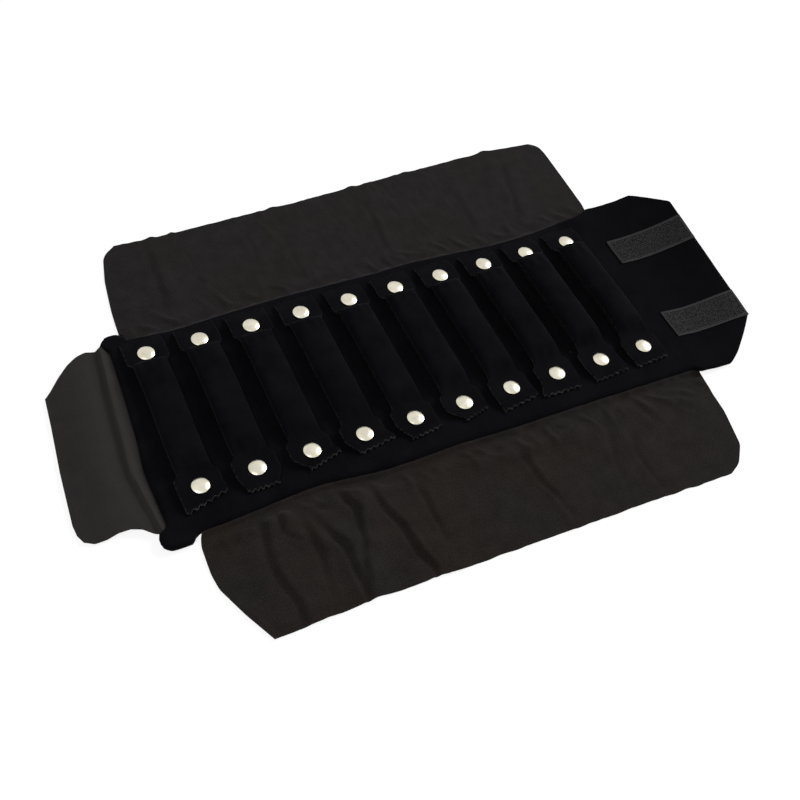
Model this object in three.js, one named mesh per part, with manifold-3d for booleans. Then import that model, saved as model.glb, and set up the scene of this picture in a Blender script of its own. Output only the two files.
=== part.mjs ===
// A jewelry roll, laid open: a padded velvet panel jointed at its roll creases, ten stuffed ring
// bars held by press studs, two cloth wings, an end flap, and a closing flap with hook strips.
// Millimetres, +Z up. The origin is on the table, under the middle of the two rows of studs.
// +X runs along the roll to the closing flap and +Y to the far wing.
import * as THREE from "three";
import { mergeVertices } from "three/addons/utils/BufferGeometryUtils.js";
import Module from "manifold-3d";

const wasm = await Module();
wasm.setup();

// Clearances.
const CLEARANCE = 0.3; // between neighbouring pieces
const SEAT = 0.1; // between a stud's metal and the cloth that it grips
const CREASE_GAP = 0.4; // across a crease, between the pieces that fold there

// Press studs.
const CAP_DIAMETER = 12.5;
const CAP_RIM = 0.6;
const CAP_DOME = 1.3;
const POST_DIAMETER = 3.6;
const SOCKET_DIAMETER = 10;
const SOCKET_HEIGHT = 2;
const SOCKET_ROOF = 0.4;
const STUD_FLANGE_DIAMETER = 9;
const STUD_FLANGE_THICKNESS = 0.5;
const STUD_NECK_DIAMETER = 3.2;
const STUD_HEAD_DIAMETER = 4.2;
const STUD_HEAD_THICKNESS = 0.6;
const CAP_SHOULDER = 0.62; // share of the cap's radius where its dome steepens
const ROUND_SIDES = 10; // flat sides of a turned piece
const ROUND_STEPS = 4; // straight steps in a quarter round

// Ring bars: a stuffed velvet tube that flattens into a pinked tab at each end.
const BARS_PER_SECTION = 2;
const BAR_PITCH = 38;
const SNAP_SPACING = 114; // between the two studs of one bar
const SNAP_MARGIN = 3.75; // from a cap's rim to the end of the tube
const TUBE_WIDTH = 23;
const TUBE_HEIGHT = 13;
const TUBE_TAPER = 15; // length over which the tube flattens
const TUBE_SLACK = 0.08; // share of the height lost towards the tube's ends
const TAB_GAP = 8; // between the tabs of neighbouring bars
const TAB_THICKNESS = 1.8;
const TAB_REACH = 16; // from a stud's middle to the points of the pinked edge
const PINKING_TEETH = 7;
const PINKING_DEPTH = 2.2;
const BAR_SIDES = 10; // points round a bar's cross-section
const TAPER_STEPS = 3; // straight steps in a taper
const TAB_ROUNDNESS = 0.25; // 0 is a square cross-section, 1 is an oval one
const TUBE_TOP_ROUNDNESS = 0.85;
const TUBE_BASE_ROUNDNESS = 0.6;

// Padded panel.
const SECTION_COUNT = 5;
const PANEL_THICKNESS = 8;
const PANEL_BORDER = 14; // from the pinked edges to the panel's long edges
const PANEL_EDGE_RADIUS = 3;
const LEFT_MARGIN = 30; // from the first bar's middle to the panel's left end
const RIGHT_MARGIN = 32; // from the last bar's middle to the closing flap

// Cloth wings along both long edges.
const CLOTH_THICKNESS = 1.2;
const FAR_WING_WIDTH = 89;
const FAR_WING_CORNER = 8; // radius of its outer corners
const FAR_WING_OVERHANG = 9; // how far it reaches past the panel's right end
const NEAR_WING_WIDTH = 81;
const NEAR_WING_CORNER = 20;
const NEAR_WING_OVERHANG = 0;
const WING_LEFT_INSET = 19; // a wing starts this far inside the panel's left end
const WING_LEFT_SLANT = 13; // its left edge leans in by this much
const SEAM_RISE = 4.3; // the cloth climbs this far to its seam on the panel
const SEAM_SLOPE = 16; // width of that climb
const FOLD_HEIGHT = 3.6; // folds that run out from the roll creases
const FOLD_HALF_WIDTH = 17;
const RIPPLE_HEIGHT = 1.5; // lower ripples between the folds
const WING_COLUMNS = 8;
const WING_ROWS = 7;

// Cloth flap on the panel's left end.
const END_FLAP_LENGTH = 45;
const END_FLAP_WIDTH = 140;
const END_FLAP_FAR_CORNER = 22; // large cut corner on the far side
const END_FLAP_NEAR_CORNER = 10;
const END_FLAP_HUMP = 3.2; // height of the ridge along its middle
const END_FLAP_COLUMNS = 8;
const END_FLAP_ROWS = 10;

// Velvet closing flap on the right end, with its hook strips.
const CLOSING_FLAP_LENGTH = 73;
const CLOSING_FLAP_THICKNESS = 4;
const CLOSING_FLAP_RISE = 3.2; // how far the middle of its free end curls up
const CLOSING_FLAP_TWIST = 0.11; // how much more it curls for each millimetre towards the far side
const CLOSING_FAR_CORNER_LENGTH = 26; // cut corners, along the flap
const CLOSING_FAR_CORNER_WIDTH = 23; // and across it
const CLOSING_NEAR_CORNER_LENGTH = 33;
const CLOSING_NEAR_CORNER_WIDTH = 33;
const CLOSING_COLUMNS = 8; // straight steps in the curl
const CLOSING_ROWS = 10; // and across it
const STRIP_ROWS = 2;
const STRIP_WIDTH = 25;
const STRIP_THICKNESS = 1.2;
const STRIP_SPACING = 80; // between the middles of the two strips
const STRIP_SHIFT = -3; // the pair sits this far towards the near side

// Loop patch on the outside of the first section, for the hook strips to catch.
const PATCH_LENGTH = 58;
const PATCH_WIDTH = 120;
const PATCH_THICKNESS = 1.2;

// Places worked out from the driving dimensions.
const BAR_COUNT = SECTION_COUNT * BARS_PER_SECTION;
const SECTION_LENGTH = BARS_PER_SECTION * BAR_PITCH;
const SNAP_Y = SNAP_SPACING / 2;
const TUBE_END = SNAP_Y - CAP_DIAMETER / 2 - SNAP_MARGIN;
const TAB_END = SNAP_Y + TAB_REACH;
const TAB_WIDTH = BAR_PITCH - TAB_GAP;
const PANEL_WIDTH = 2 * (TAB_END + PANEL_BORDER);
const PANEL_LEFT = barX(0) - LEFT_MARGIN;
const PANEL_RIGHT = barX(BAR_COUNT - 1) + RIGHT_MARGIN;
const SOCKET_BASE = PANEL_THICKNESS + STUD_FLANGE_THICKNESS + CLEARANCE;
const TAB_BASE = SOCKET_BASE + SOCKET_HEIGHT + SEAT;
const TAB_TOP = TAB_BASE + TAB_THICKNESS;
const CAP_BASE = TAB_TOP + SEAT;
const BAR_BASE = PANEL_THICKNESS + CLEARANCE;
const WING_SEAM = PANEL_WIDTH / 2 + CLEARANCE;
const END_FLAP_SEAM = PANEL_LEFT - CLEARANCE;
const CLOSING_SEAM = PANEL_RIGHT + CREASE_GAP;
const TALL = PANEL_WIDTH; // higher than any piece
const WELD = 1e-4; // points nearer than this are one point

const farWing = {
  side: 1,
  width: FAR_WING_WIDTH,
  corner: FAR_WING_CORNER,
  overhang: FAR_WING_OVERHANG,
};
const nearWing = {
  side: -1,
  width: NEAR_WING_WIDTH,
  corner: NEAR_WING_CORNER,
  overhang: NEAR_WING_OVERHANG,
};

const finishes = {
  velvet: { color: 0x0d0d10, roughness: 0.95, metalness: 0 },
  cloth: { color: 0x3a342f, roughness: 0.9, metalness: 0 },
  nickel: { color: 0xcfc8b4, roughness: 0.28, metalness: 1 },
  hookTape: { color: 0x4c4c4e, roughness: 0.85, metalness: 0 },
};

function barX(index) {
  return (index - (BAR_COUNT - 1) / 2) * BAR_PITCH;
}

function creaseX(index) {
  return (index - SECTION_COUNT / 2) * SECTION_LENGTH;
}

function smooth(share) {
  const t = THREE.MathUtils.clamp(share, 0, 1);
  return t * t * (3 - 2 * t);
}

function mix(a, b, share) {
  return a + (b - a) * share;
}

// Booleans between closed geometries.
function toSolid(geometry) {
  const bare = geometry.clone();
  bare.deleteAttribute("normal");
  bare.deleteAttribute("uv");
  const merged = mergeVertices(bare, WELD);
  const mesh = new wasm.Mesh({
    numProp: 3,
    vertProperties: new Float32Array(merged.attributes.position.array),
    triVerts: new Uint32Array(merged.index.array),
  });
  return new wasm.Manifold(mesh);
}

function toGeometry(solid) {
  const mesh = solid.getMesh();
  const geometry = new THREE.BufferGeometry();
  geometry.setAttribute("position", new THREE.BufferAttribute(mesh.vertProperties, 3));
  geometry.setIndex(new THREE.BufferAttribute(mesh.triVerts, 1));
  return geometry;
}

function join(first, ...others) {
  return toGeometry(others.reduce((sum, other) => sum.add(toSolid(other)), toSolid(first)));
}

function cut(first, ...others) {
  return toGeometry(others.reduce((rest, other) => rest.subtract(toSolid(other)), toSolid(first)));
}

function common(first, second) {
  return toGeometry(toSolid(first).intersect(toSolid(second)));
}

// Prisms from an outline in plan, across the roll or along the roll.
function prismUp(outline, bottom, top) {
  const settings = { depth: top - bottom, bevelEnabled: false, curveSegments: ROUND_STEPS };
  return new THREE.ExtrudeGeometry(outline, settings).translate(0, 0, bottom);
}

function prismAcross(outline, near, far) {
  const settings = { depth: far - near, bevelEnabled: false, curveSegments: ROUND_STEPS };
  return new THREE.ExtrudeGeometry(outline, settings).rotateX(Math.PI / 2).translate(0, far, 0);
}

function prismAlong(outline, left, right) {
  const settings = { depth: right - left, bevelEnabled: false, curveSegments: ROUND_STEPS };
  const geometry = new THREE.ExtrudeGeometry(outline, settings);
  return geometry.rotateY(Math.PI / 2).rotateX(Math.PI / 2).translate(left, 0, 0);
}

function polygon(points) {
  return new THREE.Shape(points.map(([a, b]) => new THREE.Vector2(a, b)));
}

function roundedRectangle(left, right, bottom, top, radius) {
  const shape = new THREE.Shape();
  shape.moveTo(left + radius, bottom);
  shape.lineTo(right - radius, bottom);
  shape.absarc(right - radius, bottom + radius, radius, -Math.PI / 2, 0);
  shape.lineTo(right, top - radius);
  shape.absarc(right - radius, top - radius, radius, 0, Math.PI / 2);
  shape.lineTo(left + radius, top);
  shape.absarc(left + radius, top - radius, radius, Math.PI / 2, Math.PI);
  shape.lineTo(left, bottom + radius);
  shape.absarc(left + radius, bottom + radius, radius, Math.PI, 1.5 * Math.PI);
  return shape;
}

function turned(profile, x, y) {
  const points = profile.map(([radius, height]) => new THREE.Vector2(radius, height));
  return new THREE.LatheGeometry(points, ROUND_SIDES).rotateX(Math.PI / 2).translate(x, y, 0);
}

// A closed body through rings of equal point count, which run along +Y.
function loft(rings) {
  const count = rings[0].length;
  const positions = rings.flat(2);
  const index = [];
  for (let j = 0; j + 1 < rings.length; j += 1) {
    for (let k = 0; k < count; k += 1) {
      const a = j * count + k;
      const b = j * count + ((k + 1) % count);
      index.push(a, a + count, b + count, a, b + count, b);
    }
  }
  const last = (rings.length - 1) * count;
  for (let k = 1; k + 1 < count; k += 1) {
    index.push(0, k, k + 1, last, last + k + 1, last + k);
  }
  const geometry = new THREE.BufferGeometry();
  geometry.setAttribute("position", new THREE.Float32BufferAttribute(positions, 3));
  geometry.setIndex(index);
  return geometry;
}

// A closed sheet under a grid of points whose columns run along +X and rows along +Y.
function sheet(columns, rows, thickness, topAt) {
  const positions = [];
  for (const drop of [0, thickness]) {
    for (let j = 0; j <= rows; j += 1) {
      for (let i = 0; i <= columns; i += 1) {
        const point = topAt(i / columns, j / rows);
        positions.push(point.x, point.y, point.z - drop);
      }
    }
  }
  const wide = columns + 1;
  const under = wide * (rows + 1);
  const index = [];
  const quad = (a, b, c, d) => index.push(a, b, c, a, c, d);
  for (let j = 0; j < rows; j += 1) {
    for (let i = 0; i < columns; i += 1) {
      const a = j * wide + i;
      quad(a, a + 1, a + wide + 1, a + wide);
      quad(under + a, under + a + wide, under + a + wide + 1, under + a + 1);
    }
  }
  for (let i = 0; i < columns; i += 1) {
    const far = rows * wide + i;
    quad(i, under + i, under + i + 1, i + 1);
    quad(far, far + 1, under + far + 1, under + far);
  }
  for (let j = 0; j < rows; j += 1) {
    const left = j * wide;
    const right = left + columns;
    quad(left, left + wide, under + left + wide, under + left);
    quad(right, under + right, under + right + wide, right + wide);
  }
  const geometry = new THREE.BufferGeometry();
  geometry.setAttribute("position", new THREE.Float32BufferAttribute(positions, 3));
  geometry.setIndex(index);
  return geometry;
}

// Panel sections, with the lower halves of their studs.
function stud(x, y) {
  const base = PANEL_THICKNESS - STUD_FLANGE_THICKNESS;
  const flangeTop = PANEL_THICKNESS + STUD_FLANGE_THICKNESS;
  const headTop = SOCKET_BASE + SOCKET_HEIGHT - SOCKET_ROOF - CLEARANCE;
  const headBottom = headTop - STUD_HEAD_THICKNESS;
  const profile = [
    [0, base],
    [STUD_FLANGE_DIAMETER / 2, base],
    [STUD_FLANGE_DIAMETER / 2, flangeTop],
    [STUD_NECK_DIAMETER / 2, flangeTop],
    [STUD_HEAD_DIAMETER / 2, headBottom],
    [STUD_HEAD_DIAMETER / 2, headTop],
    [0, headTop],
  ];
  return turned(profile, x, y);
}

function sectionLeft(index) {
  return index === 0 ? PANEL_LEFT : creaseX(index) + CREASE_GAP / 2;
}

function sectionRight(index) {
  return index === SECTION_COUNT - 1 ? PANEL_RIGHT : creaseX(index + 1) - CREASE_GAP / 2;
}

function sectionBars(index) {
  return Array.from({ length: BARS_PER_SECTION }, (_, step) => index * BARS_PER_SECTION + step);
}

function patchOutline(margin) {
  const middle = (sectionLeft(0) + sectionRight(0)) / 2;
  const long = PATCH_LENGTH / 2 + margin;
  const wide = PATCH_WIDTH / 2 + margin;
  return polygon([
    [middle - long, -wide],
    [middle + long, -wide],
    [middle + long, wide],
    [middle - long, wide],
  ]);
}

function panelSection(index) {
  const half = PANEL_WIDTH / 2;
  const across = roundedRectangle(-half, half, 0, PANEL_THICKNESS, PANEL_EDGE_RADIUS);
  let body = prismAlong(across, sectionLeft(index), sectionRight(index));
  if (index === 0) {
    const overrun = sectionRight(0) + PANEL_EDGE_RADIUS;
    const along = roundedRectangle(PANEL_LEFT, overrun, 0, PANEL_THICKNESS, PANEL_EDGE_RADIUS);
    body = common(body, prismAcross(along, -half, half));
    body = cut(body, prismUp(patchOutline(CLEARANCE), -CLEARANCE, PATCH_THICKNESS + CLEARANCE));
  }
  const studs = sectionBars(index).flatMap((bar) => [stud(barX(bar), SNAP_Y), stud(barX(bar), -SNAP_Y)]);
  return join(body, ...studs);
}

// The upper half of a press stud: cap, post and the socket that clips over the stud.
function snap(x, y) {
  const roof = SOCKET_BASE + SOCKET_HEIGHT - SOCKET_ROOF;
  const bore = STUD_HEAD_DIAMETER / 2 + CLEARANCE;
  const socketTop = SOCKET_BASE + SOCKET_HEIGHT;
  const cap = CAP_DIAMETER / 2;
  const rimTop = CAP_BASE + CAP_RIM;
  const profile = [
    [0, roof],
    [bore, roof],
    [bore, SOCKET_BASE],
    [SOCKET_DIAMETER / 2, SOCKET_BASE],
    [SOCKET_DIAMETER / 2, socketTop],
    [POST_DIAMETER / 2, socketTop],
    [POST_DIAMETER / 2, CAP_BASE],
    [cap, CAP_BASE],
    [cap, rimTop],
    [cap * CAP_SHOULDER, rimTop + CAP_DOME * (1 - CAP_SHOULDER ** 2)],
    [0, rimTop + CAP_DOME],
  ];
  return turned(profile, x, y);
}

// Ring bars. A cross-section goes from a flat tab to a stuffed tube as it swells.
function swell(y) {
  return smooth((TUBE_END - Math.abs(y)) / TUBE_TAPER);
}

function droop(y) {
  const start = SNAP_Y + SOCKET_DIAMETER / 2;
  return smooth((Math.abs(y) - start) / (TAB_END - start));
}

function barRing(x, y) {
  const full = swell(y);
  const crown = 1 - TUBE_SLACK * (y / TUBE_END) ** 2;
  const height = mix(TAB_THICKNESS, TUBE_HEIGHT * crown, full);
  const halfWidth = mix(TAB_WIDTH, TUBE_WIDTH, full) / 2;
  const base = mix(TAB_BASE, BAR_BASE, Math.max(full, droop(y)));
  const middle = base + height / 2;
  const ring = [];
  for (let k = 0; k < BAR_SIDES; k += 1) {
    const angle = (2 * Math.PI * k) / BAR_SIDES;
    const sine = Math.sin(angle);
    const cosine = Math.cos(angle);
    const tubeRoundness = sine > 0 ? TUBE_TOP_ROUNDNESS : TUBE_BASE_ROUNDNESS;
    const roundness = mix(TAB_ROUNDNESS, tubeRoundness, full);
    const side = Math.sign(cosine) * Math.abs(cosine) ** roundness;
    const rise = Math.sign(sine) * Math.abs(sine) ** roundness;
    ring.push([x + halfWidth * side, y, middle + (height / 2) * rise]);
  }
  return ring;
}

function pinkedOutline(x, from, to) {
  const half = TAB_WIDTH / 2 + CLEARANCE;
  const inward = Math.sign(from - to) * PINKING_DEPTH;
  const points = [
    [x - half, from],
    [x + half, from],
  ];
  for (let tooth = 0; tooth <= 2 * PINKING_TEETH; tooth += 1) {
    const across = x + half - (half * tooth) / PINKING_TEETH;
    points.push([across, tooth % 2 ? to : to + inward]);
  }
  return polygon(to > from ? points : points.reverse());
}

function postHole(x, y) {
  const radius = POST_DIAMETER / 2 + SEAT;
  const hole = new THREE.CylinderGeometry(radius, radius, TALL, ROUND_SIDES);
  return hole.rotateX(Math.PI / 2).translate(x, y, 0);
}

function pinkedPiece(x, from, to, stations, holeY) {
  const body = loft(stations.map((y) => barRing(x, y)));
  const trimmed = common(body, prismUp(pinkedOutline(x, from, to), 0, TALL));
  return cut(trimmed, postHole(x, holeY));
}

function tabStations() {
  const flatStart = SNAP_Y - CAP_DIAMETER / 2;
  const flatEnd = SNAP_Y + SOCKET_DIAMETER / 2;
  return [flatStart, flatEnd, (flatEnd + TAB_END) / 2, TAB_END + PINKING_DEPTH];
}

function taperStations() {
  const steps = Array.from({ length: TAPER_STEPS + 1 }, (_, step) => step / TAPER_STEPS);
  return steps.map((share) => TUBE_END - TUBE_TAPER * share);
}

function bar(x) {
  const nearTab = tabStations().map((y) => -y).reverse();
  const nearTaper = taperStations().map((y) => -y);
  const farTaper = taperStations().reverse();
  const stations = [...nearTab, ...nearTaper, 0, ...farTaper];
  return pinkedPiece(x, TUBE_END + CLEARANCE, -TAB_END, stations, -SNAP_Y);
}

function farTab(x) {
  const start = TUBE_END + CREASE_GAP;
  return pinkedPiece(x, start - CLEARANCE, TAB_END, [start, ...tabStations()], SNAP_Y);
}

// Cloth wings, one length for each panel section.
function roundedCorner(wing, distance) {
  const past = Math.max(0, distance - (wing.width - wing.corner));
  return wing.corner - Math.sqrt(wing.corner ** 2 - past ** 2);
}

function wingLeft(wing, index, distance) {
  if (index > 0) {
    return sectionLeft(index);
  }
  const lean = (WING_LEFT_SLANT * distance) / wing.width;
  return PANEL_LEFT + WING_LEFT_INSET + lean + roundedCorner(wing, distance);
}

function wingRight(wing, index, distance) {
  if (index < SECTION_COUNT - 1) {
    return sectionRight(index);
  }
  return PANEL_RIGHT + wing.overhang - roundedCorner(wing, distance);
}

function wingTop(wing, x, distance) {
  let top = CLOTH_THICKNESS + SEAM_RISE * (1 - smooth(distance / SEAM_SLOPE));
  const spread = smooth(distance / SEAM_SLOPE);
  for (let crease = 1; crease < SECTION_COUNT; crease += 1) {
    const away = Math.abs(x - creaseX(crease)) / FOLD_HALF_WIDTH;
    top += spread * FOLD_HEIGHT * smooth(1 - away);
  }
  const wave = Math.cos((2 * Math.PI * x) / SECTION_LENGTH + (Math.PI * distance) / wing.width);
  return top + (spread * RIPPLE_HEIGHT * (1 + wave)) / 2;
}

function wingLength(wing, index) {
  return sheet(WING_COLUMNS, WING_ROWS, CLOTH_THICKNESS, (u, v) => {
    const distance = wing.width * (wing.side > 0 ? v : 1 - v);
    const x = mix(wingLeft(wing, index, distance), wingRight(wing, index, distance), u);
    return new THREE.Vector3(x, wing.side * (WING_SEAM + distance), wingTop(wing, x, distance));
  });
}

// Cloth flap on the left end.
function endFlap() {
  const half = END_FLAP_WIDTH / 2;
  return sheet(END_FLAP_COLUMNS, END_FLAP_ROWS, CLOTH_THICKNESS, (u, v) => {
    const distance = END_FLAP_LENGTH * (1 - u);
    const farCut = Math.max(0, distance - (END_FLAP_LENGTH - END_FLAP_FAR_CORNER));
    const nearCut = Math.max(0, distance - (END_FLAP_LENGTH - END_FLAP_NEAR_CORNER));
    const y = mix(nearCut - half, half - farCut, v);
    const seam = SEAM_RISE * (1 - smooth(distance / (SEAM_SLOPE / 2)));
    const along = THREE.MathUtils.clamp(distance / END_FLAP_LENGTH, 0, 1);
    const hump = END_FLAP_HUMP * Math.sin(Math.PI * along) ** 2;
    return new THREE.Vector3(END_FLAP_SEAM - distance, y, CLOTH_THICKNESS + seam + hump);
  });
}

// Velvet closing flap, which curls up towards its far corner while its near corner lies down.
function curlTop(share, y) {
  const rise = CLOSING_FLAP_RISE + CLOSING_FLAP_TWIST * y;
  return PANEL_THICKNESS + rise * share ** 2;
}

function curledSheet(near, far, rows, thickness, lift) {
  return sheet(CLOSING_COLUMNS, rows, thickness, (u, v) => {
    const y = mix(near, far, v);
    return new THREE.Vector3(CLOSING_SEAM + CLOSING_FLAP_LENGTH * u, y, curlTop(u, y) + lift);
  });
}

function closingFlap() {
  const half = PANEL_WIDTH / 2;
  const end = CLOSING_SEAM + CLOSING_FLAP_LENGTH;
  const start = CLOSING_SEAM - CLEARANCE;
  const outline = polygon([
    [start, -half],
    [end - CLOSING_NEAR_CORNER_LENGTH, -half],
    [end, CLOSING_NEAR_CORNER_WIDTH - half],
    [end, half - CLOSING_FAR_CORNER_WIDTH],
    [end - CLOSING_FAR_CORNER_LENGTH, half],
    [start, half],
  ]);
  const whole = curledSheet(-half, half, CLOSING_ROWS, CLOSING_FLAP_THICKNESS, 0);
  return common(whole, prismUp(outline, -CLEARANCE, TALL));
}

function hookStrip(side) {
  const middle = STRIP_SHIFT + (side * STRIP_SPACING) / 2;
  const near = middle - STRIP_WIDTH / 2;
  return curledSheet(near, near + STRIP_WIDTH, STRIP_ROWS, STRIP_THICKNESS, CLEARANCE + STRIP_THICKNESS);
}

function loopPatch() {
  return prismUp(patchOutline(0), 0, PATCH_THICKNESS);
}

// The assembly.
const roll = new THREE.Group();

function addPiece(name, geometry, finish) {
  const mesh = new THREE.Mesh(geometry, new THREE.MeshStandardMaterial(finishes[finish]));
  mesh.name = name;
  roll.add(mesh);
}

for (let index = 0; index < SECTION_COUNT; index += 1) {
  const number = index + 1;
  addPiece(`panel_section_${number}`, panelSection(index), "velvet");
  addPiece(`far_wing_${number}`, wingLength(farWing, index), "cloth");
  addPiece(`near_wing_${number}`, wingLength(nearWing, index), "cloth");
}

for (let index = 0; index < BAR_COUNT; index += 1) {
  const number = index + 1;
  const x = barX(index);
  addPiece(`bar_${number}`, bar(x), "velvet");
  addPiece(`bar_${number}_far_tab`, farTab(x), "velvet");
  addPiece(`bar_${number}_near_snap`, snap(x, -SNAP_Y), "nickel");
  addPiece(`bar_${number}_far_snap`, snap(x, SNAP_Y), "nickel");
}

addPiece("end_flap", endFlap(), "cloth");
addPiece("closing_flap", closingFlap(), "velvet");
addPiece("hook_strip_far", hookStrip(1), "hookTape");
addPiece("hook_strip_near", hookStrip(-1), "hookTape");
addPiece("loop_patch", loopPatch(), "hookTape");

export default roll;
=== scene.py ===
"""A jewelry roll laid open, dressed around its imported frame: a velvet panel with ten stuffed ring bars
on press studs, two brushed cloth wings, a cloth end flap and a closing flap with two hook strips.
Sizes in the script are millimetres in the frame's axes, and become metres as each mesh is made."""
import math
import random

import bmesh
import bpy
import numpy as np
from mathutils import Matrix, Vector, noise


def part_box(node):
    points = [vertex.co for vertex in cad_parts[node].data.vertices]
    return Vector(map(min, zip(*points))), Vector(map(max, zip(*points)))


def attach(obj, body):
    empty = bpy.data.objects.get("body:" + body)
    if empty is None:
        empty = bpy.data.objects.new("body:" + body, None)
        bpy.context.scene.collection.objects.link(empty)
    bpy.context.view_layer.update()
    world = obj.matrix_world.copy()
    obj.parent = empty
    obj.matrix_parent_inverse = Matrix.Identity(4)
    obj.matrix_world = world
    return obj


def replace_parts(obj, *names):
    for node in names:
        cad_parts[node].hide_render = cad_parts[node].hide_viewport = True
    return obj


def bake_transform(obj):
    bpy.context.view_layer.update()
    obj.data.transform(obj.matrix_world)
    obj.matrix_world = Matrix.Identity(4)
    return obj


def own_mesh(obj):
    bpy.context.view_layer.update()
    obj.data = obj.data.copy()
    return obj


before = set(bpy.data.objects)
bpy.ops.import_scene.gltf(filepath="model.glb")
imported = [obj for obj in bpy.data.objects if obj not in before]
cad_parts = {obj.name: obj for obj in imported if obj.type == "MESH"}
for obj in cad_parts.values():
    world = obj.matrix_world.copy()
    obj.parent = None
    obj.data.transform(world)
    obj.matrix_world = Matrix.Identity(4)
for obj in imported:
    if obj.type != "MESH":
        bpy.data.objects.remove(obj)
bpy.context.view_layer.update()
MM = 0.001


# Sizes read from the frame.
def node_box(node):
    """A solid's box in millimetres, as its low and its high corner."""
    low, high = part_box(node)
    return np.array(low) / MM, np.array(high) / MM


def node_middle(node, axis):
    low, high = node_box(node)
    return float(np.mean([low[axis], high[axis]]))


def node_width(node, axis):
    low, high = node_box(node)
    return float(high[axis] - low[axis])


SECTIONS = range(1, 6)
BARS = range(1, 11)
CLEARANCE = 0.3
PANEL_LEFT = node_box("panel_section_1")[0][0]
PANEL_RIGHT = node_box("panel_section_5")[1][0]
PANEL_TOP = node_box("bar_1")[0][2] - CLEARANCE
PANEL_HALF = node_box("panel_section_1")[1][1]
CREASES = [(node_box(f"panel_section_{k}")[1][0] + node_box(f"panel_section_{k + 1}")[0][0]) / 2
           for k in SECTIONS[:-1]]
BAR_X = {k: node_middle(f"bar_{k}", 0) for k in BARS}
TAB_HALF = node_width("bar_1_far_tab", 0) / 2
TAB_END = node_box("bar_1_far_tab")[1][1]
TAB_OVER_SOCKET = 3.9
TAB_TOP = node_box("bar_1_near_snap")[0][2] + TAB_OVER_SOCKET
TUBE_TOP = node_box("bar_1")[1][2]
TUBE_END = node_box("bar_1")[1][1] - CLEARANCE
SNAP_Y = node_middle("bar_1_far_snap", 1)
CAP_RADIUS = node_width("bar_1_far_snap", 1) / 2
CAP_TOP = node_box("bar_1_far_snap")[1][2]
SOCKET_BASE = node_box("bar_1_far_snap")[0][2]
FLAP_END = node_box("closing_flap")[1][0]


# Shared tools.
MERGE_DISTANCE = 0.004


def smooth(share):
    """An easy step from 0 to 1."""
    t = np.clip(share, 0.0, 1.0)
    return t * t * (3.0 - 2.0 * t)


def mix(first, second, share):
    return first + (second - first) * share


def ripple(x, y, size, seed):
    """Soft noise over a plan, from about -1 to 1, with blobs about `size` wide."""
    x, y = np.broadcast_arrays(np.asarray(x, float), np.asarray(y, float))
    values = [noise.noise((a / size, b / size, seed)) for a, b in zip(x.ravel(), y.ravel())]
    return np.array(values).reshape(x.shape)


def line_at(at, places):
    """A line through a few places."""
    return np.interp(at, [p[0] for p in places], [p[1] for p in places])


def grid_of(x, y, z):
    return np.stack([x, y, z], -1)


def add_object(name, data):
    made = bpy.data.objects.new(name, data)
    bpy.context.scene.collection.objects.link(made)
    return made


def drop(helper):
    """Takes a helper shape out of the scene again."""
    bpy.data.objects.remove(helper)


def make_piece(name, points, faces, *materials):
    mesh = bpy.data.meshes.new(name)
    mesh.from_pydata((np.asarray(points, float) * MM).tolist(), [], faces)
    for material in materials:
        mesh.materials.append(material)
    mesh.polygons.foreach_set("use_smooth", [True] * len(mesh.polygons))
    mesh.update()
    return add_object(name, mesh)


def square(half):
    """The corners of a level square about the origin, and its one face."""
    return np.array([(-half, -half, 0), (half, -half, 0), (half, half, 0), (-half, half, 0)]), [(0, 1, 2, 3)]


def face_outwards(piece, merge=0.0):
    """Turns a closed piece's faces outwards, once points closer than `merge` are one."""
    shape = bmesh.new()
    shape.from_mesh(piece.data)
    if merge:
        bmesh.ops.remove_doubles(shape, verts=shape.verts, dist=merge * MM)
    bmesh.ops.recalc_face_normals(shape, faces=shape.faces)
    shape.to_mesh(piece.data)
    shape.free()


def keep_hard_edges(piece, degrees):
    piece.data.set_sharp_from_angle(angle=math.radians(degrees))


def close_up(piece, crease_degrees):
    """Merges the doubles on a closed piece, turns its faces outwards and keeps its hard edges."""
    face_outwards(piece, MERGE_DISTANCE)
    keep_hard_edges(piece, crease_degrees)


def paint(piece, name, values):
    """Keeps one value for each point of a piece, for its material to read."""
    layer = piece.data.attributes.new(name, "FLOAT", "POINT")
    layer.data.foreach_set("value", np.asarray(values, np.float32))


def grid_faces(columns, rows, start=0, flip=False):
    """Four-sided faces over a grid of points that is numbered row by row."""
    wide = columns + 1
    faces = []
    for j in range(rows):
        for i in range(columns):
            a = start + j * wide + i
            face = (a, a + 1, a + wide + 1, a + wide)
            faces.append(face[::-1] if flip else face)
    return faces


def rim_of(columns, rows):
    """The outline of a grid of points, once round."""
    wide = columns + 1
    near = list(range(wide))
    right = [j * wide + columns for j in range(1, rows + 1)]
    far = [rows * wide + i for i in range(columns - 1, -1, -1)]
    left = [j * wide for j in range(rows - 1, 0, -1)]
    return near + right + far + left


def shell(name, top, under, *materials):
    """A closed piece between two grids of points, both shaped (rows, columns, 3)."""
    rows, columns = top.shape[0] - 1, top.shape[1] - 1
    count = (rows + 1) * (columns + 1)
    points = np.concatenate([top.reshape(-1, 3), under.reshape(-1, 3)])
    faces = grid_faces(columns, rows) + grid_faces(columns, rows, count, True)
    rim = rim_of(columns, rows)
    for a, b in zip(rim, rim[1:] + rim[:1]):
        faces.append((a, a + count, b + count, b))
    return make_piece(name, points, faces, *materials)


# Materials.
def start_material(name):
    material = bpy.data.materials.new(name)
    material.use_nodes = True
    tree = material.node_tree
    tree.nodes.clear()
    output = tree.nodes.new("ShaderNodeOutputMaterial")
    shader = tree.nodes.new("ShaderNodeBsdfPrincipled")
    tree.links.new(shader.outputs["BSDF"], output.inputs["Surface"])
    return material, tree, shader


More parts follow.
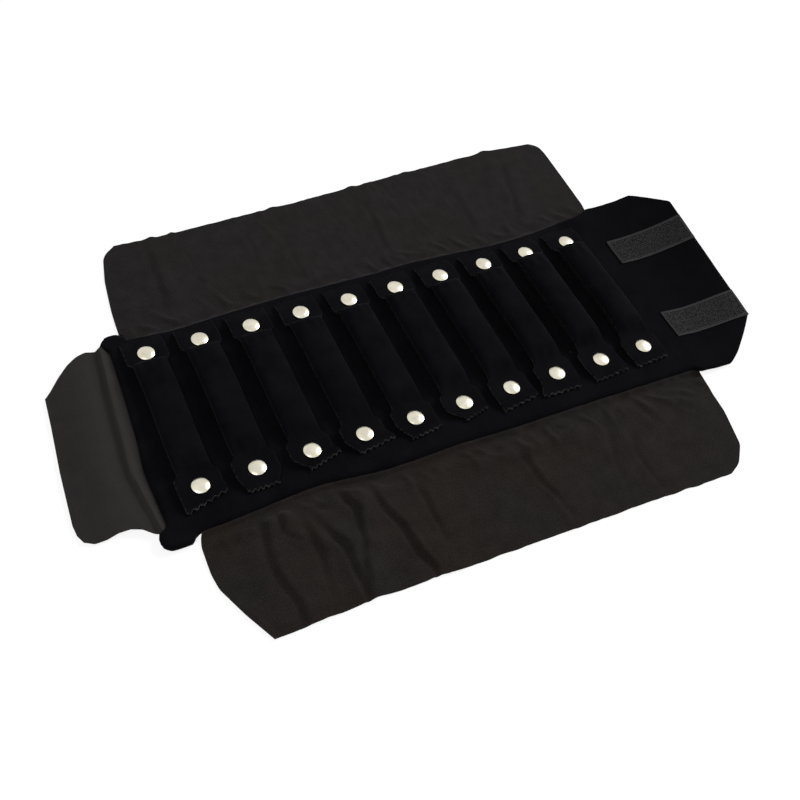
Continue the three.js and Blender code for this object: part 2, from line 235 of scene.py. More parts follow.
def feed(tree, made, inputs):
    """Gives a node's inputs their values: a socket is linked, anything else is set on the node itself."""
    for key, value in inputs.items():
        if isinstance(value, bpy.types.NodeSocket):
            tree.links.new(value, made.inputs[key])
        else:
            made.inputs[key].default_value = value


def add_node(tree, kind, inputs=None, **settings):
    made = tree.nodes.new(kind)
    for key, value in settings.items():
        setattr(made, key, value)
    feed(tree, made, inputs or {})
    return made


def object_place(tree):
    return add_node(tree, "ShaderNodeTexCoord").outputs["Object"]


def painted(tree, name):
    """What was painted on a piece's points under one name."""
    return add_node(tree, "ShaderNodeAttribute", attribute_name=name).outputs["Fac"]


def noise_of(tree, where, per_metre, detail=2.0, roughness=0.5):
    inputs = {"Vector": where, "Scale": per_metre, "Detail": detail, "Roughness": roughness}
    return add_node(tree, "ShaderNodeTexNoise", inputs).outputs["Fac"]


def ramp_of(tree, factor, stops):
    made = add_node(tree, "ShaderNodeValToRGB", {"Fac": factor})
    ramp = made.color_ramp
    while len(ramp.elements) < len(stops):
        ramp.elements.new(0.5)
    for element, (place, colour) in zip(ramp.elements, stops):
        element.position = place
        element.color = (*colour, 1.0)
    return made.outputs["Color"]


def patches_of(tree, factor, none_at, all_at, least=0.0, most=1.0):
    """A grey ramp that parts a noise into patches."""
    return ramp_of(tree, factor, [(none_at, (least,) * 3), (all_at, (most,) * 3)])


def math_of(tree, operation, first, second, clamp=False):
    made = add_node(tree, "ShaderNodeMath", {0: first, 1: second}, operation=operation, use_clamp=clamp)
    return made.outputs["Value"]


def weighted(tree, *parts):
    """The sum of some values, each times its weight."""
    shares = [math_of(tree, "MULTIPLY", value, weight) for value, weight in parts]
    total = shares[0]
    for share in shares[1:]:
        total = math_of(tree, "ADD", total, share)
    return total


def blend_colour(tree, factor, first, second):
    """Colour mixed from two, each a socket or a plain colour. A Mix node's colour sockets go by number."""
    made = add_node(tree, "ShaderNodeMix", {"Factor": factor}, data_type="RGBA")
    for socket, value in ((6, first), (7, second)):
        feed(tree, made, {socket: value if isinstance(value, bpy.types.NodeSocket) else (*value, 1.0)})
    return made.outputs[2]


def bump_of(tree, height, depth_mm, strength):
    inputs = {"Height": height, "Distance": depth_mm * MM, "Strength": strength}
    return add_node(tree, "ShaderNodeBump", inputs).outputs["Normal"]


# Pale grey of lint on the velvet, also used as a painted sheen along the bars' long edges.
LINT_AND_SHEEN_GREY = (0.085, 0.083, 0.080)
SPECK_GREY = (0.075, 0.073, 0.070)
SPECKS_PER_METRE = 34.0
SPECK_SIZE = 0.013
# Near-black used to paint shade onto the closing flap's velvet, where its nap turns the other way and
# catches less light.
NAP_SHADE_BLACK = (0.0010, 0.0010, 0.0014)
BACKING_BLACK = (0.004, 0.004, 0.004)
BACKING_PALE = (0.120, 0.116, 0.110)
# Paler grey laid over the end flap: the cloth is paler there, and the narrow band beside its seam is a
# painted highlight on the ridge.
PALE_LIT_GREY = (0.046, 0.042, 0.041)
TWILL_TURN = 0.9


def velvet_material():
    """Black cotton velvet: short pile, nap that shades in patches, and pale marks on the edges named by
    `lint`: real lint where the bars' ends are cut, and a painted sheen along the bars' long edges.
    """
    material, tree, shader = start_material("black_velvet")
    where = object_place(tree)
    pile = noise_of(tree, where, 1400.0, 2.0)
    nap = noise_of(tree, where, 55.0, 3.0)
    tone = weighted(tree, (pile, 0.45), (nap, 0.55))
    colour = ramp_of(tree, tone, [(0.30, (0.0015, 0.0015, 0.0023)), (0.72, (0.0058, 0.0057, 0.0068))])
    broken = patches_of(tree, noise_of(tree, where, 420.0, 3.0), 0.36, 0.62)
    # Pale grey where the `lint` points ask for it: real lint at the bars' cut ends, and a painted sheen
    # along their long edges.
    lint = math_of(tree, "MULTIPLY", painted(tree, "lint"), broken, clamp=True)
    colour = blend_colour(tree, lint, colour, LINT_AND_SHEEN_GREY)
    cells = add_node(tree, "ShaderNodeTexVoronoi", {"Vector": where, "Scale": SPECKS_PER_METRE})
    speck = math_of(tree, "LESS_THAN", cells.outputs["Distance"], SPECK_SIZE)
    colour = blend_colour(tree, speck, colour, SPECK_GREY)
    # Painted shade: the velvet is darkened towards near-black where the closing flap's points ask for it.
    colour = blend_colour(tree, painted(tree, "painted_nap_shade"), colour, NAP_SHADE_BLACK)
    feed(tree, shader, {"Base Color": colour, "Normal": bump_of(tree, tone, 0.5, 0.5), "Roughness": 0.92,
                        "Specular IOR Level": 0.03, "Sheen Weight": 0.05, "Sheen Roughness": 0.20,
                        "Sheen Tint": (0.80, 0.84, 1.0, 1.0)})
    return material


def cut_edge_material():
    """The pale raw backing that shows where the velvet is cut with pinking shears."""
    material, tree, shader = start_material("pinked_cut_edge")
    where = object_place(tree)
    threads = noise_of(tree, where, 900.0, 3.0)
    colour = ramp_of(tree, threads, [(0.38, BACKING_BLACK), (0.66, BACKING_PALE)])
    frayed = patches_of(tree, noise_of(tree, where, 130.0, 2.0), 0.40, 0.58, least=0.15)
    colour = blend_colour(tree, frayed, BACKING_BLACK, colour)
    feed(tree, shader, {"Base Color": colour, "Normal": bump_of(tree, threads, 0.4, 0.8), "Roughness": 0.95,
                        "Specular IOR Level": 0.1})
    return material


def wing_cloth_material():
    """Brushed brown-grey cotton: a fine twill under a raised, slightly matted nap."""
    material, tree, shader = start_material("brushed_cloth")
    where = add_node(tree, "ShaderNodeTexCoord").outputs["UV"]
    twill_place = add_node(tree, "ShaderNodeMapping", {"Vector": where, "Rotation": (0.0, 0.0, TWILL_TURN)})
    twill = add_node(tree, "ShaderNodeTexWave", {"Vector": twill_place.outputs["Vector"], "Scale": 420.0,
                                                 "Distortion": 3.0, "Detail": 2.0, "Detail Scale": 2.0})
    fuzz = noise_of(tree, where, 1100.0, 4.0, 0.6)
    matting = noise_of(tree, where, 90.0, 3.0)
    tone = weighted(tree, (fuzz, 0.66), (matting, 0.20), (twill.outputs["Fac"], 0.14))
    warm = ramp_of(tree, tone, [(0.34, (0.0065, 0.0052, 0.0045)), (0.50, (0.0148, 0.0118, 0.0104)),
                                (0.66, (0.0268, 0.0213, 0.0185))])
    cool = ramp_of(tree, tone, [(0.34, (0.0062, 0.0057, 0.0060)), (0.50, (0.0138, 0.0125, 0.0131)),
                                (0.66, (0.0248, 0.0228, 0.0237))])
    # The cooler copy of the colour is the same cloth under cooler light: random patches take some of it, and
    # pieces that ask for it get it as painted cooler light, most of all the far wing.
    patches = patches_of(tree, noise_of(tree, where, 14.0, 2.0), 0.40, 0.62, most=0.6)
    cool_tint = math_of(tree, "ADD", patches, painted(tree, "cool_tint"), clamp=True)
    colour = blend_colour(tree, cool_tint, warm, cool)
    # Paler on the end flap, with a painted highlight on the ridge beside its seam.
    colour = blend_colour(tree, painted(tree, "paler_and_lit"), colour, PALE_LIT_GREY)
    feed(tree, shader, {"Base Color": colour, "Normal": bump_of(tree, tone, 0.35, 0.6), "Roughness": 0.95,
                        "Specular IOR Level": 0.08, "Sheen Weight": 0.02, "Sheen Roughness": 0.5})
    return material


def nickel_material():
    """Pale nickel plate, lightly rubbed."""
    material, tree, shader = start_material("nickel_plate")
    where = object_place(tree)
    rubbed = noise_of(tree, where, 700.0, 4.0, 0.65)
    gloss = add_node(tree, "ShaderNodeMapRange", {"Value": rubbed, "From Min": 0.3, "From Max": 0.7,
                                                  "To Min": 0.20, "To Max": 0.36})
    colour = ramp_of(tree, noise_of(tree, where, 160.0, 2.0),
                     [(0.3, (0.60, 0.56, 0.45)), (0.7, (0.74, 0.70, 0.58))])
    feed(tree, shader, {"Base Color": colour, "Roughness": gloss.outputs["Result"], "Metallic": 1.0})
    return material


def tape_material(name, dark, pale, gloss):
    """Woven fastener tape: ribs across its ground, with nylon lint caught in them."""
    material, tree, shader = start_material(name)
    where = object_place(tree)
    ribs = add_node(tree, "ShaderNodeTexWave", {"Vector": where, "Scale": 180.0, "Distortion": 1.5},
                    bands_direction="Y").outputs["Fac"]
    lint = noise_of(tree, where, 1300.0, 3.0, 0.6)
    tone = weighted(tree, (ribs, 0.3), (lint, 0.7))
    colour = ramp_of(tree, tone, [(0.30, dark), (0.75, pale)])
    feed(tree, shader, {"Base Color": colour, "Normal": bump_of(tree, tone, 0.3, 0.6), "Roughness": 0.7,
                        "Specular IOR Level": gloss})
    return material


def thread_material():
    """Black sewing thread with a fine twist."""
    material, tree, shader = start_material("black_thread")
    twist = noise_of(tree, object_place(tree), 2500.0, 2.0)
    colour = ramp_of(tree, twist, [(0.3, (0.004, 0.004, 0.005)), (0.7, (0.013, 0.013, 0.014))])
    feed(tree, shader, {"Base Color": colour, "Roughness": 0.6, "Specular IOR Level": 0.3})
    return material


VELVET = velvet_material()
CUT_EDGE = cut_edge_material()
CLOTH = wing_cloth_material()
NICKEL = nickel_material()
HOOK_TAPE = tape_material("hook_tape", (0.0080, 0.0080, 0.0083), (0.0330, 0.0330, 0.0335), 0.12)
HOOKS = tape_material("nylon_hooks", (0.0030, 0.0030, 0.0032), (0.0150, 0.0150, 0.0154), 0.12)
LOOP_TAPE = tape_material("loop_tape", (0.006, 0.006, 0.007), (0.022, 0.022, 0.023), 0.2)
THREAD = thread_material()


# The velvet panel, with rolled edges.
EDGE_RADIUS = PANEL_TOP / 2
EDGE_STEPS = [0.0, 0.12, 0.45, 1.0, 1.8, 2.8, 4.0]
SIDE_EDGE_WIDTH = 7.0
LEFT_EDGE_WIDTH = 6.0
FLAP_EDGE_WIDTH = 5.0
PANEL_MIDDLES = [(a + b) / 2 for a, b in zip(CREASES, CREASES[1:])]
PAD_STEP_ALONG = 2.6
PAD_STEP_ACROSS = 3.2
PAD_EDGE_ANGLE = 60.0
PATCH_MARGIN = 3.5
PATCH_CLEARANCE = 0.05
LINE_EASE = 9.0
EDGE_WAVE = 0.3
CORNER_ROUND = 5.0
LEFT_END_PULL = 34.0
DIMPLE_DEPTH = 0.7
DIMPLE_REACH = 6.0
VELVET_SINK = 0.25

# The closing flap: velvet, thinner than the panel, curling up at its far corner and down at its near one.
FLAP_SEAM = PANEL_RIGHT - 10.0
FLAP_START = node_box("closing_flap")[0][0]
FLAP_THICKNESS = 4.0
FLAP_STEP = 1.6
FLAP_EASE = 20.0
FLAP_RISE = 5.8
FLAP_TWIST = 0.115
FLAP_SAG = 2.4
# How much painted shade darkens the closing flap's velvet beyond its seam.
FLAP_NAP_SHADE = 0.5
FAR_CORNER = (26.0, 23.0)
NEAR_CORNER = (42.0, 35.0)
CORNER_LIFT = 3.5

# How far the wings' seams draw the panel's long edges in, as (x, distance).
FAR_DRAWN_IN = [(-184, 7.5), (-160, 9.3), (-143, 10.0), (-97, 6.6), (-61, 5.2), (17, 5.5), (40, 4.0),
                (84, 5.8), (112, 7.8), (140, 7.2), (165, 5.0), (204, 2.5)]
NEAR_DRAWN_IN = [(-182, 2.5), (-150, 4.0), (-118, 7.0), (-102, 8.0), (-86, 7.0), (-60, 3.5), (-30, 3.0),
                 (0, 4.5), (40, 3.0), (110, 3.0), (204, 2.0)]
# Where an edge bulges because nothing is sewn to it: start, reach (leftward if negative) and height.
FAR_BULGES = [(-179.0, -6.0, 7.0), (200.0, 10.0, 2.5)]
NEAR_BULGES = [(-180.0, -8.0, 5.5), (200.0, 8.0, 4.0)]
LEFT_BULGES = [(71.0, 6.0, 5.0), (-73.0, -5.0, 7.0)]
# The line on the panel's left end where the end flap is sewn, as (y, x).
END_SEAM = [(-76, -198.5), (-50, -199.5), (-30, -200.5), (-9, -197.5), (30, -195.0), (52, -194.0),
            (76, -193.0)]


def soft_line(at, places):
    """A line through a few measured places, with its corners softened."""
    at = np.asarray(at)
    sides = (line_at(at + LINE_EASE, places) + line_at(at - LINE_EASE, places)) / 2
    return (line_at(at, places) + sides) / 2


def bulges(at, places):
    return sum(height * smooth((at - start) / reach) for start, reach, height in places)


def far_edge(x, bulge=1.0):
    """The panel's far edge, which bulges where no wing is sewn to it."""
    x = np.asarray(x)
    bare = bulge * bulges(x, FAR_BULGES)
    return PANEL_HALF - soft_line(x, FAR_DRAWN_IN) + bare + EDGE_WAVE * ripple(x, 0 * x, 9.0, 11.0)


def near_edge(x, bulge=1.0):
    """The panel's near edge, which bulges in the same way."""
    x = np.asarray(x)
    bare = bulge * bulges(x, NEAR_BULGES)
    return -PANEL_HALF + soft_line(x, NEAR_DRAWN_IN) - bare + EDGE_WAVE * ripple(x, 0 * x, 9.0, 13.0)


def end_seam(y):
    return soft_line(y, END_SEAM)


def left_edge(y):
    """The panel's left end, which bulges at its two bare corners."""
    y = np.asarray(y)
    corners = smooth((y - 77.0) / 9.0) ** 2 + smooth((-82.0 - y) / 9.0) ** 2
    return end_seam(y) - bulges(y, LEFT_BULGES) + CORNER_ROUND * corners


def rounding(distance, radius=EDGE_RADIUS):
    """Share of the full half thickness at a distance in from a rolled edge."""
    share = np.clip(distance / radius, 0.0, 1.0)
    return np.sqrt(np.clip(1.0 - (1.0 - share) ** 2, 0.0, 1.0))


def across_steps(near, far, spacing):
    """Places across a pad, close together at its two rolled edges."""
    inner = np.linspace(near + SIDE_EDGE_WIDTH, far - SIDE_EDGE_WIDTH, max(2, int((far - near) / spacing)))
    low = [near + s for s in EDGE_STEPS]
    high = [far - s for s in reversed(EDGE_STEPS)]
    return np.array([*low, *inner, *high])


def along_steps(left, right, spacing):
    """Evenly spaced places, about `spacing` apart."""
    return np.linspace(left, right, max(2, int(round((right - left) / spacing)) + 1))


def stud_dimple(x, y):
    """How far the studs draw the velvet down."""
    depth = np.zeros_like(x)
    for bar in BARS:
        for side in (-1, 1):
            reach2 = (x - BAR_X[bar]) ** 2 + (y - side * SNAP_Y) ** 2
            depth += DIMPLE_DEPTH * np.exp(-reach2 / (2 * DIMPLE_REACH ** 2))
    return depth


def curl(x, y):
    """How far the panel's far right corner and the closing flap are lifted or laid down."""
    share = np.clip((x - FLAP_START) / (FLAP_END - FLAP_START), 0.0, 1.2)
    sag = FLAP_SAG * smooth(share / 0.35) * (1.0 - smooth((share - 0.35) / 0.6))
    lift = (FLAP_RISE + FLAP_TWIST * y) * share ** 2.2 - sag * (1.0 - smooth((y + 20.0) / 90.0))
    corner = smooth((x - 150.0) / 60.0) * smooth((y - 40.0) / 44.0)
    return lift + CORNER_LIFT * corner * np.clip(1.0 - share, 0, 1) ** 2


def velvet_top(x, y):
    """Height of the velvet's upper face, soft with stuffing."""
    soft = 0.30 * ripple(x, y, 26.0, 3.0) + 0.12 * ripple(x, y, 9.0, 5.0)
    return PANEL_TOP - VELVET_SINK + soft - stud_dimple(x, y) + curl(x, y)


def share_across():
    """Places across the panel, as shares of its width."""
    places = across_steps(-PANEL_HALF, PANEL_HALF, PAD_STEP_ACROSS)
    return (places + PANEL_HALF) / (2 * PANEL_HALF)


def patch_ceiling(x, y):
    """The height that a pad's underside keeps to, so that the loop patch lies in a shallow recess."""
    low, high = node_box("loop_patch")
    inside = (x > low[0] - PATCH_MARGIN) & (x < high[0] + PATCH_MARGIN)
    inside &= (y > low[1] - PATCH_MARGIN) & (y < high[1] + PATCH_MARGIN)
    return np.where(inside, high[2] + PATCH_CLEARANCE, 0.0)


def pad_between(name, x, y, thickness, inward):
    """A closed pad under the velvet's top, whose two faces meet where `inward` falls to nothing."""
    top = velvet_top(x, y)
    middle = top - thickness / 2
    upper = middle + (thickness / 2) * inward
    lower = np.maximum(middle - (thickness / 2) * inward, patch_ceiling(x, y))
    piece = shell(name, grid_of(x, y, upper), grid_of(x, y, lower), VELVET)
    close_up(piece, PAD_EDGE_ANGLE)
    return piece


def panel_pad(number, left, right):
    """One padded length of the panel: flat ends meet its neighbours, and the first has a rolled left end."""
    stations = along_steps(left, right, PAD_STEP_ALONG)
    if number == 1:
        inner = along_steps(left + LEFT_EDGE_WIDTH, right, PAD_STEP_ALONG)
        stations = np.array([left + s for s in EDGE_STEPS] + list(inner))
    v, x = np.meshgrid(share_across(), stations, indexing="ij")
    y = mix(near_edge(x), far_edge(x), v)
    inward = np.ones_like(x)
    if number == 1:
        x = x + (left_edge(y) - left) * smooth(1.0 - (x - left) / LEFT_END_PULL)
        inward = rounding(x - left_edge(y))
    inward = inward * rounding(y - near_edge(x)) * rounding(far_edge(x) - y)
    thickness = velvet_top(x, y) - curl(x, y)
    return pad_between(f"panel_velvet_{number}", x, y, thickness, inward)


def make_panel():
    lefts = [float(PANEL_LEFT), *PANEL_MIDDLES]
    rights = [*PANEL_MIDDLES, FLAP_SEAM]
    for number, (left, right) in enumerate(zip(lefts, rights), 1):
        pad = panel_pad(number, left, right)
        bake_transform(pad)
        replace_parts(pad, f"panel_section_{number}")
        if number == 4:
            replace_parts(pad, "panel_section_5")


def corner_cut(x, along, across, power):
    """How far a cut corner of the flap draws its edge in."""
    return across * np.clip((x - FLAP_END + along) / along, 0, 1) ** power


def flap_far(x):
    return far_edge(x) + 1.0 - corner_cut(x, *FAR_CORNER, 1.15)


def flap_near(x):
    return near_edge(x) + corner_cut(x, *NEAR_CORNER, 1.25)


def closing_flap():
    tail = [FLAP_END - s for s in reversed(EDGE_STEPS)]
    stations = np.array([*along_steps(FLAP_SEAM, FLAP_END - FLAP_EDGE_WIDTH, FLAP_STEP), *tail])
    v, x = np.meshgrid(share_across(), stations, indexing="ij")
    begun = smooth((x - FLAP_SEAM) / FLAP_EASE)
    near = mix(near_edge(x), flap_near(x), begun)
    far = mix(far_edge(x), flap_far(x), begun)
    y = mix(near, far, v)
    thin = smooth((x - FLAP_SEAM) / (FLAP_START + 6.0 - FLAP_SEAM))
    thickness = mix(velvet_top(x, y) - curl(x, y), FLAP_THICKNESS, thin)
    radius = mix(EDGE_RADIUS, FLAP_THICKNESS / 2, thin)
    inward = rounding(y - near, radius) * rounding(far - y, radius) * rounding(FLAP_END - x, radius)
    piece = pad_between("closing_flap_velvet", x, y, thickness, inward)
    along = np.array([vertex.co.x for vertex in piece.data.vertices]) / MM
    # Painted shade on the flap's velvet, growing from its seam outwards.
    paint(piece, "painted_nap_shade", FLAP_NAP_SHADE * smooth((along - FLAP_SEAM) / FLAP_EASE))
    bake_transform(piece)
    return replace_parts(piece, "closing_flap")


# Ring bars: a stuffed tube that flattens into a pinked tab at each end.
TAB_THICKNESS = 1.8
TAB_BASE = TAB_TOP - TAB_THICKNESS
BAR_BASE = PANEL_TOP + CLEARANCE
TUBE_HALF = 11.6
NEAR_TAPER = 15.0
FAR_TAPER = 6.0
SHOULDER = 5.0
TEETH = 6
TOOTH_DEPTH = 1.8
FRAY = 0.55
TAB_FLAT_END = TAB_END - TOOTH_DEPTH - FRAY - 0.9
BAR_STEP = 1.5
BAR_EDGE_ANGLE = 50.0
PLUMP_BARS = (9, 10)
FULL_BARS = (2, 6)
EXTRA_ACROSS = (0.90, 0.95, 0.98)
# How much shorter each near tab is at its left and right corner, and how far these lie to the right.
NEAR_TABS = {1: (0.0, 8.5, 1.0, 1.0), 2: (1.5, 2.0, 4.0, -4.0), 3: (3.0, 10.5, 9.5, 4.0),
             4: (3.5, 8.0, 7.0, 5.0), 5: (1.5, 5.0, 7.0, 1.5), 6: (2.5, 8.0, 11.0, 1.0),
             7: (0.0, 5.0, 2.0, 3.0), 8: (1.5, 1.0, -2.5, -1.0), 9: (0.0, 3.0, 3.5, 3.0),
             10: (1.5, 3.5, 2.5, 1.0)}


def places_across():
    """Places across a bar from -1 to 1: the pinking's points and notches, and more beside the long edges."""
    teeth = np.linspace(-1.0, 1.0, 4 * TEETH + 1)
    extra = np.array([*EXTRA_ACROSS, *[-e for e in EXTRA_ACROSS]])
    return np.unique(np.round(np.concatenate([teeth, extra]), 5))


def pinking(u, begun):
    """0 at a tooth's point and 1 in the notch beside it, with part of a tooth already begun at the left."""
    phase = (u + 1.0) * TEETH / 2.0 + begun
    return 2.0 * np.abs(phase - np.floor(phase + 0.5))


def bar_character(bar):
    """How one bar was stuffed: its height, how oval it is, how it leans and where its far end stops."""
    draw = random.Random(40 + bar)
    plump = bar in PLUMP_BARS
    full = plump or bar in FULL_BARS
    return {
        "swell": draw.uniform(1.04, 1.08) if plump else draw.uniform(0.84, 0.92),
        "round": 0.92 if plump else draw.uniform(0.80, 0.88),
        "lean": draw.uniform(-0.7, 0.7),
        "far_end": TUBE_END + (5.4 if plump else 4.2 if full else draw.uniform(2.4, 3.2)),
        "begun": draw.randrange(4) / 4.0,
    }


def bar_section(y, u, upper, character):
    """Points of a bar's cross-section at one place along it, as offsets across and heights."""
    if y < 0:
        full = float(smooth((TUBE_END + y) / NEAR_TAPER))
        narrow = float(smooth((TUBE_END + 2.0 + y) / SHOULDER))
    else:
        full = float(rounding(character["far_end"] - y, FAR_TAPER))
        narrow = float(smooth((character["far_end"] + 2.5 - y) / SHOULDER))
    crown = 1.0 - 0.07 * (y / TUBE_END) ** 2
    height = mix(TAB_THICKNESS, (TUBE_TOP - BAR_BASE) * crown * character["swell"], full)
    half = mix(TAB_HALF, TUBE_HALF, narrow)
    droop = float(smooth((abs(y) - SNAP_Y - 5.0) / (TAB_END - SNAP_Y - 5.0)))
    base = mix(TAB_BASE, BAR_BASE, max(full, droop))
    angle = u * math.pi / 2
    power = character["round"] if upper else 0.5
    round_side = np.sign(u) * np.abs(np.sin(angle)) ** power
    round_rise = np.abs(np.cos(angle)) ** power
    flat_rise = (1.0 - np.abs(u) ** 14) ** (1.0 / 3.0)
    side = mix(u, round_side, full)
    rise = mix(flat_rise, round_rise, full)
    lean = character["lean"] * full * (rise if upper else 0.0)
    z = base + height / 2 + (height / 2) * rise * (1.0 if upper else -1.0)
    return half * side + lean, z


def bar_stations():
    """Places along a bar, each with how far in from the cut edge it follows the pinking, if it does."""
    inner = [(y, None) for y in along_steps(-TAB_FLAT_END, TAB_FLAT_END, BAR_STEP)]
    return [(-TAB_END, 0.0), (-TAB_END, FRAY), *inner, (TAB_END, FRAY), (TAB_END, 0.0)]


def near_tab_lie(bar, u, y):
    """How far a near tab is moved sideways and shortened at one place along it, from its stud outwards."""
    left_cut, right_cut, left_shift, right_shift = NEAR_TABS[bar]
    past = min(max((-y - SNAP_Y) / (TAB_FLAT_END - SNAP_Y), 0.0), 1.0)
    share = (u + 1.0) / 2.0
    return mix(left_shift, right_shift, share) * past ** 2, mix(left_cut, right_cut, share) * past


def bar_folds(points, bar):
    """Hand-stuffed unevenness, and gathers where the tube is pinched shut."""
    x, y, z = points.T
    across = (x - BAR_X[bar]) / TUBE_HALF
    raised = smooth((z - BAR_BASE - 3.0) / 6.0)
    tube = smooth((TUBE_END - 2.0 - np.abs(y)) / 10.0)
    lumps = 0.40 * ripple(x, y, 17.0, 20.0 + bar) + 0.18 * ripple(x, y, 6.0, 50.0 + bar)
    gathers_place = np.exp(-((np.abs(y) - TUBE_END + 5.0) / 5.0) ** 2)
    gathers = 0.45 * np.cos(across * 9.0 + bar) * gathers_place
    sway = 0.9 * tube * ripple(np.full_like(y, 7.0 * bar), y, 60.0, 70.0)
    return grid_of(x + sway, y, z + raised * (tube * lumps + gathers))


def bar_ring(bar, y, inset, character):
    """One ring of a bar's points: across its top, then back along its underside."""
    u_top = places_across()
    ring = []
    for upper, places in ((True, u_top), (False, u_top[1:-1][::-1])):
        across, z = bar_section(y, places, upper, character)
        along = np.full_like(places, y)
        if inset is not None:
            notch = TOOTH_DEPTH * pinking(places, character["begun"])
            along = y - math.copysign(1.0, y) * (notch + inset)
        moved_across, moved_along = near_tab_lie(bar, places, y)
        ring.append(grid_of(BAR_X[bar] + across + moved_across, along + moved_along, z))
    return np.concatenate(ring)


def bar_lint_and_sheen(y, inset):
    """Pale marks on one ring: a painted sheen along the bar's two long edges, stronger on the left one, and
    lint where its ends are cut.
    """
    u_top = places_across()
    tube = float(smooth((TUBE_END - abs(y)) / 4.0))
    # Painted sheen: a pale line along the left long edge, and a fainter one along the right.
    edge = np.exp(-((u_top + 1.0) / 0.03) ** 2) + 0.25 * np.exp(-((u_top - 1.0) / 0.03) ** 2)
    fray = 0.0 if inset is None else (0.55 if y < 0 else 0.2) * (1.0 - inset / FRAY)
    top = np.clip(mix(0.35, 0.25, tube) * edge + fray, 0, 1)
    return np.concatenate([top, np.zeros(len(u_top) - 2)])


def bar_faces(rings, ring_size):
    """Faces round a bar, and after them its two cut ends, as many as a ring has points."""
    faces = []
    for j in range(rings - 1):
        for k in range(ring_size):
            a = j * ring_size + k
            b = j * ring_size + (k + 1) % ring_size
            faces.append((a, b, b + ring_size, a + ring_size))
    last = (rings - 1) * ring_size
    wide = ring_size // 2 + 1
    for i in range(wide - 1):
        low_left = 0 if i == 0 else ring_size - i
        low_right = wide - 1 if i == wide - 2 else ring_size - i - 1
        cut = (i, i + 1, low_right, low_left)
        faces.append(tuple(dict.fromkeys(cut)))
        faces.append(tuple(dict.fromkeys(last + p for p in reversed(cut))))
    return faces


def bar_cover(bar):
    """One bar's velvet, with its cut ends, their lint, and the painted sheen along its long edges."""
    character = bar_character(bar)
    stations = bar_stations()
    rings = [bar_ring(bar, y, inset, character) for y, inset in stations]
    ring_size = len(rings[0])
    points = bar_folds(np.concatenate(rings), bar)
    piece = make_piece(f"bar_cover_{bar}", points, bar_faces(len(rings), ring_size), VELVET, CUT_EDGE)
    for face in piece.data.polygons[-ring_size:]:
        face.material_index = 1
    # Paints the lint at the cut ends and the painted sheen along the long edges.
    paint(piece, "lint", np.concatenate([bar_lint_and_sheen(y, inset) for y, inset in stations]))
    close_up(piece, BAR_EDGE_ANGLE)
    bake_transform(piece)
    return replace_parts(piece, f"bar_{bar}", f"bar_{bar}_far_tab")


# Cloth wings, laid out flat with the folds that rolling has left in them.
CLOTH_THICKNESS = 0.9
CLOTH_LIE = 1.5
CLOTH_STEP = 1.5
SEAM_HEIGHT = 5.2
HEM_HEIGHT = 0.6
TUCK_COLUMNS = 10
LAP_COLUMNS = 3
LAP_THICKNESS = 0.5
LAP_TIP = 0.1
LAP_GAP = 0.05
HELD_ROWS = 4
LOWEST_CLOTH = CLOTH_THICKNESS + 0.05
# Painted cooler light: how much of the cloth's cooler copy each wing gets, the far one (1) and the near one
# (-1).
WING_COOL_LIGHT = {1: 0.5, -1: 0.0}

# A wing's plan: its two ends before they are shaped, and its rows of points as shares of its depth.
WING_ENDS = (-182.0, 204.0)
ROOT_ROWS = [-0.030, -0.012, 0.0, 0.010, 0.020, 0.031, 0.042, 0.054, 0.067, 0.081]
FREE_ROWS = np.linspace(0.096, 1.0, 54)

# Outlines of the far wing (1) and the near one (-1): outer edges as (x, y), left and right ends as (y, x).
WING_OUTER = {
    1: [(-185, 173), (-130, 171.5), (-10, 175.5), (60, 179.5), (150, 183.5), (165, 184.5), (216, 182)],
    -1: [(-182, -164.8), (-100, -163.5), (33, -166.2), (119, -167.5), (203, -169.5)],
}
WING_LEFT = {
    1: [(80, -182), (112, -179), (141, -175), (162, -170), (168, -166), (172, -159)],
    -1: [(-166, -161), (-144, -172), (-124, -180.5), (-113, -182), (-93, -182), (-84, -180)],
}
WING_RIGHT = {
    1: [(80, 213), (100, 215), (168, 216), (176, 215), (180, 212), (183, 207)],
    -1: [(-171, 171), (-165, 184), (-152, 195), (-124, 202), (-108, 203.5), (-88, 207)],
}
FAR_EDGE_BUMPS = (-140, -117, -33, 36, 88, 163)

# Folds that run out across a wing: (x, y) along each, its height and how far it spreads on its soft side.
NEAR_FOLDS = [
    ([(-144, -84), (-148, -127), (-142, -150), (-143, -170)], 3.8, 16.0),
    ([(-131, -82), (-134, -104), (-121, -114)], 3.6, 8.0),
    ([(-122, -84), (-117, -122), (-122, -157)], 2.8, 11.0),
    ([(-112, -98), (-102, -126), (-100, -168)], 4.3, 10.0),
    ([(-92, -80), (-84, -105), (-88, -122), (-99, -160)], 4.2, 15.0),
    ([(-73, -88), (-62, -122), (-58, -146), (-53, -168)], 3.7, 19.0),
    ([(-38, -90), (-38, -123), (-36, -150)], 2.7, 14.0),
    ([(38, -92), (43, -128), (51, -160)], 1.8, 13.0),
    ([(114, -88), (109, -112), (100, -134), (98, -158)], 1.1, 15.0),
    ([(126, -108), (119, -138), (122, -166)], 1.4, 10.0),
    ([(140, -90), (150, -118)], 1.5, 8.0),
]
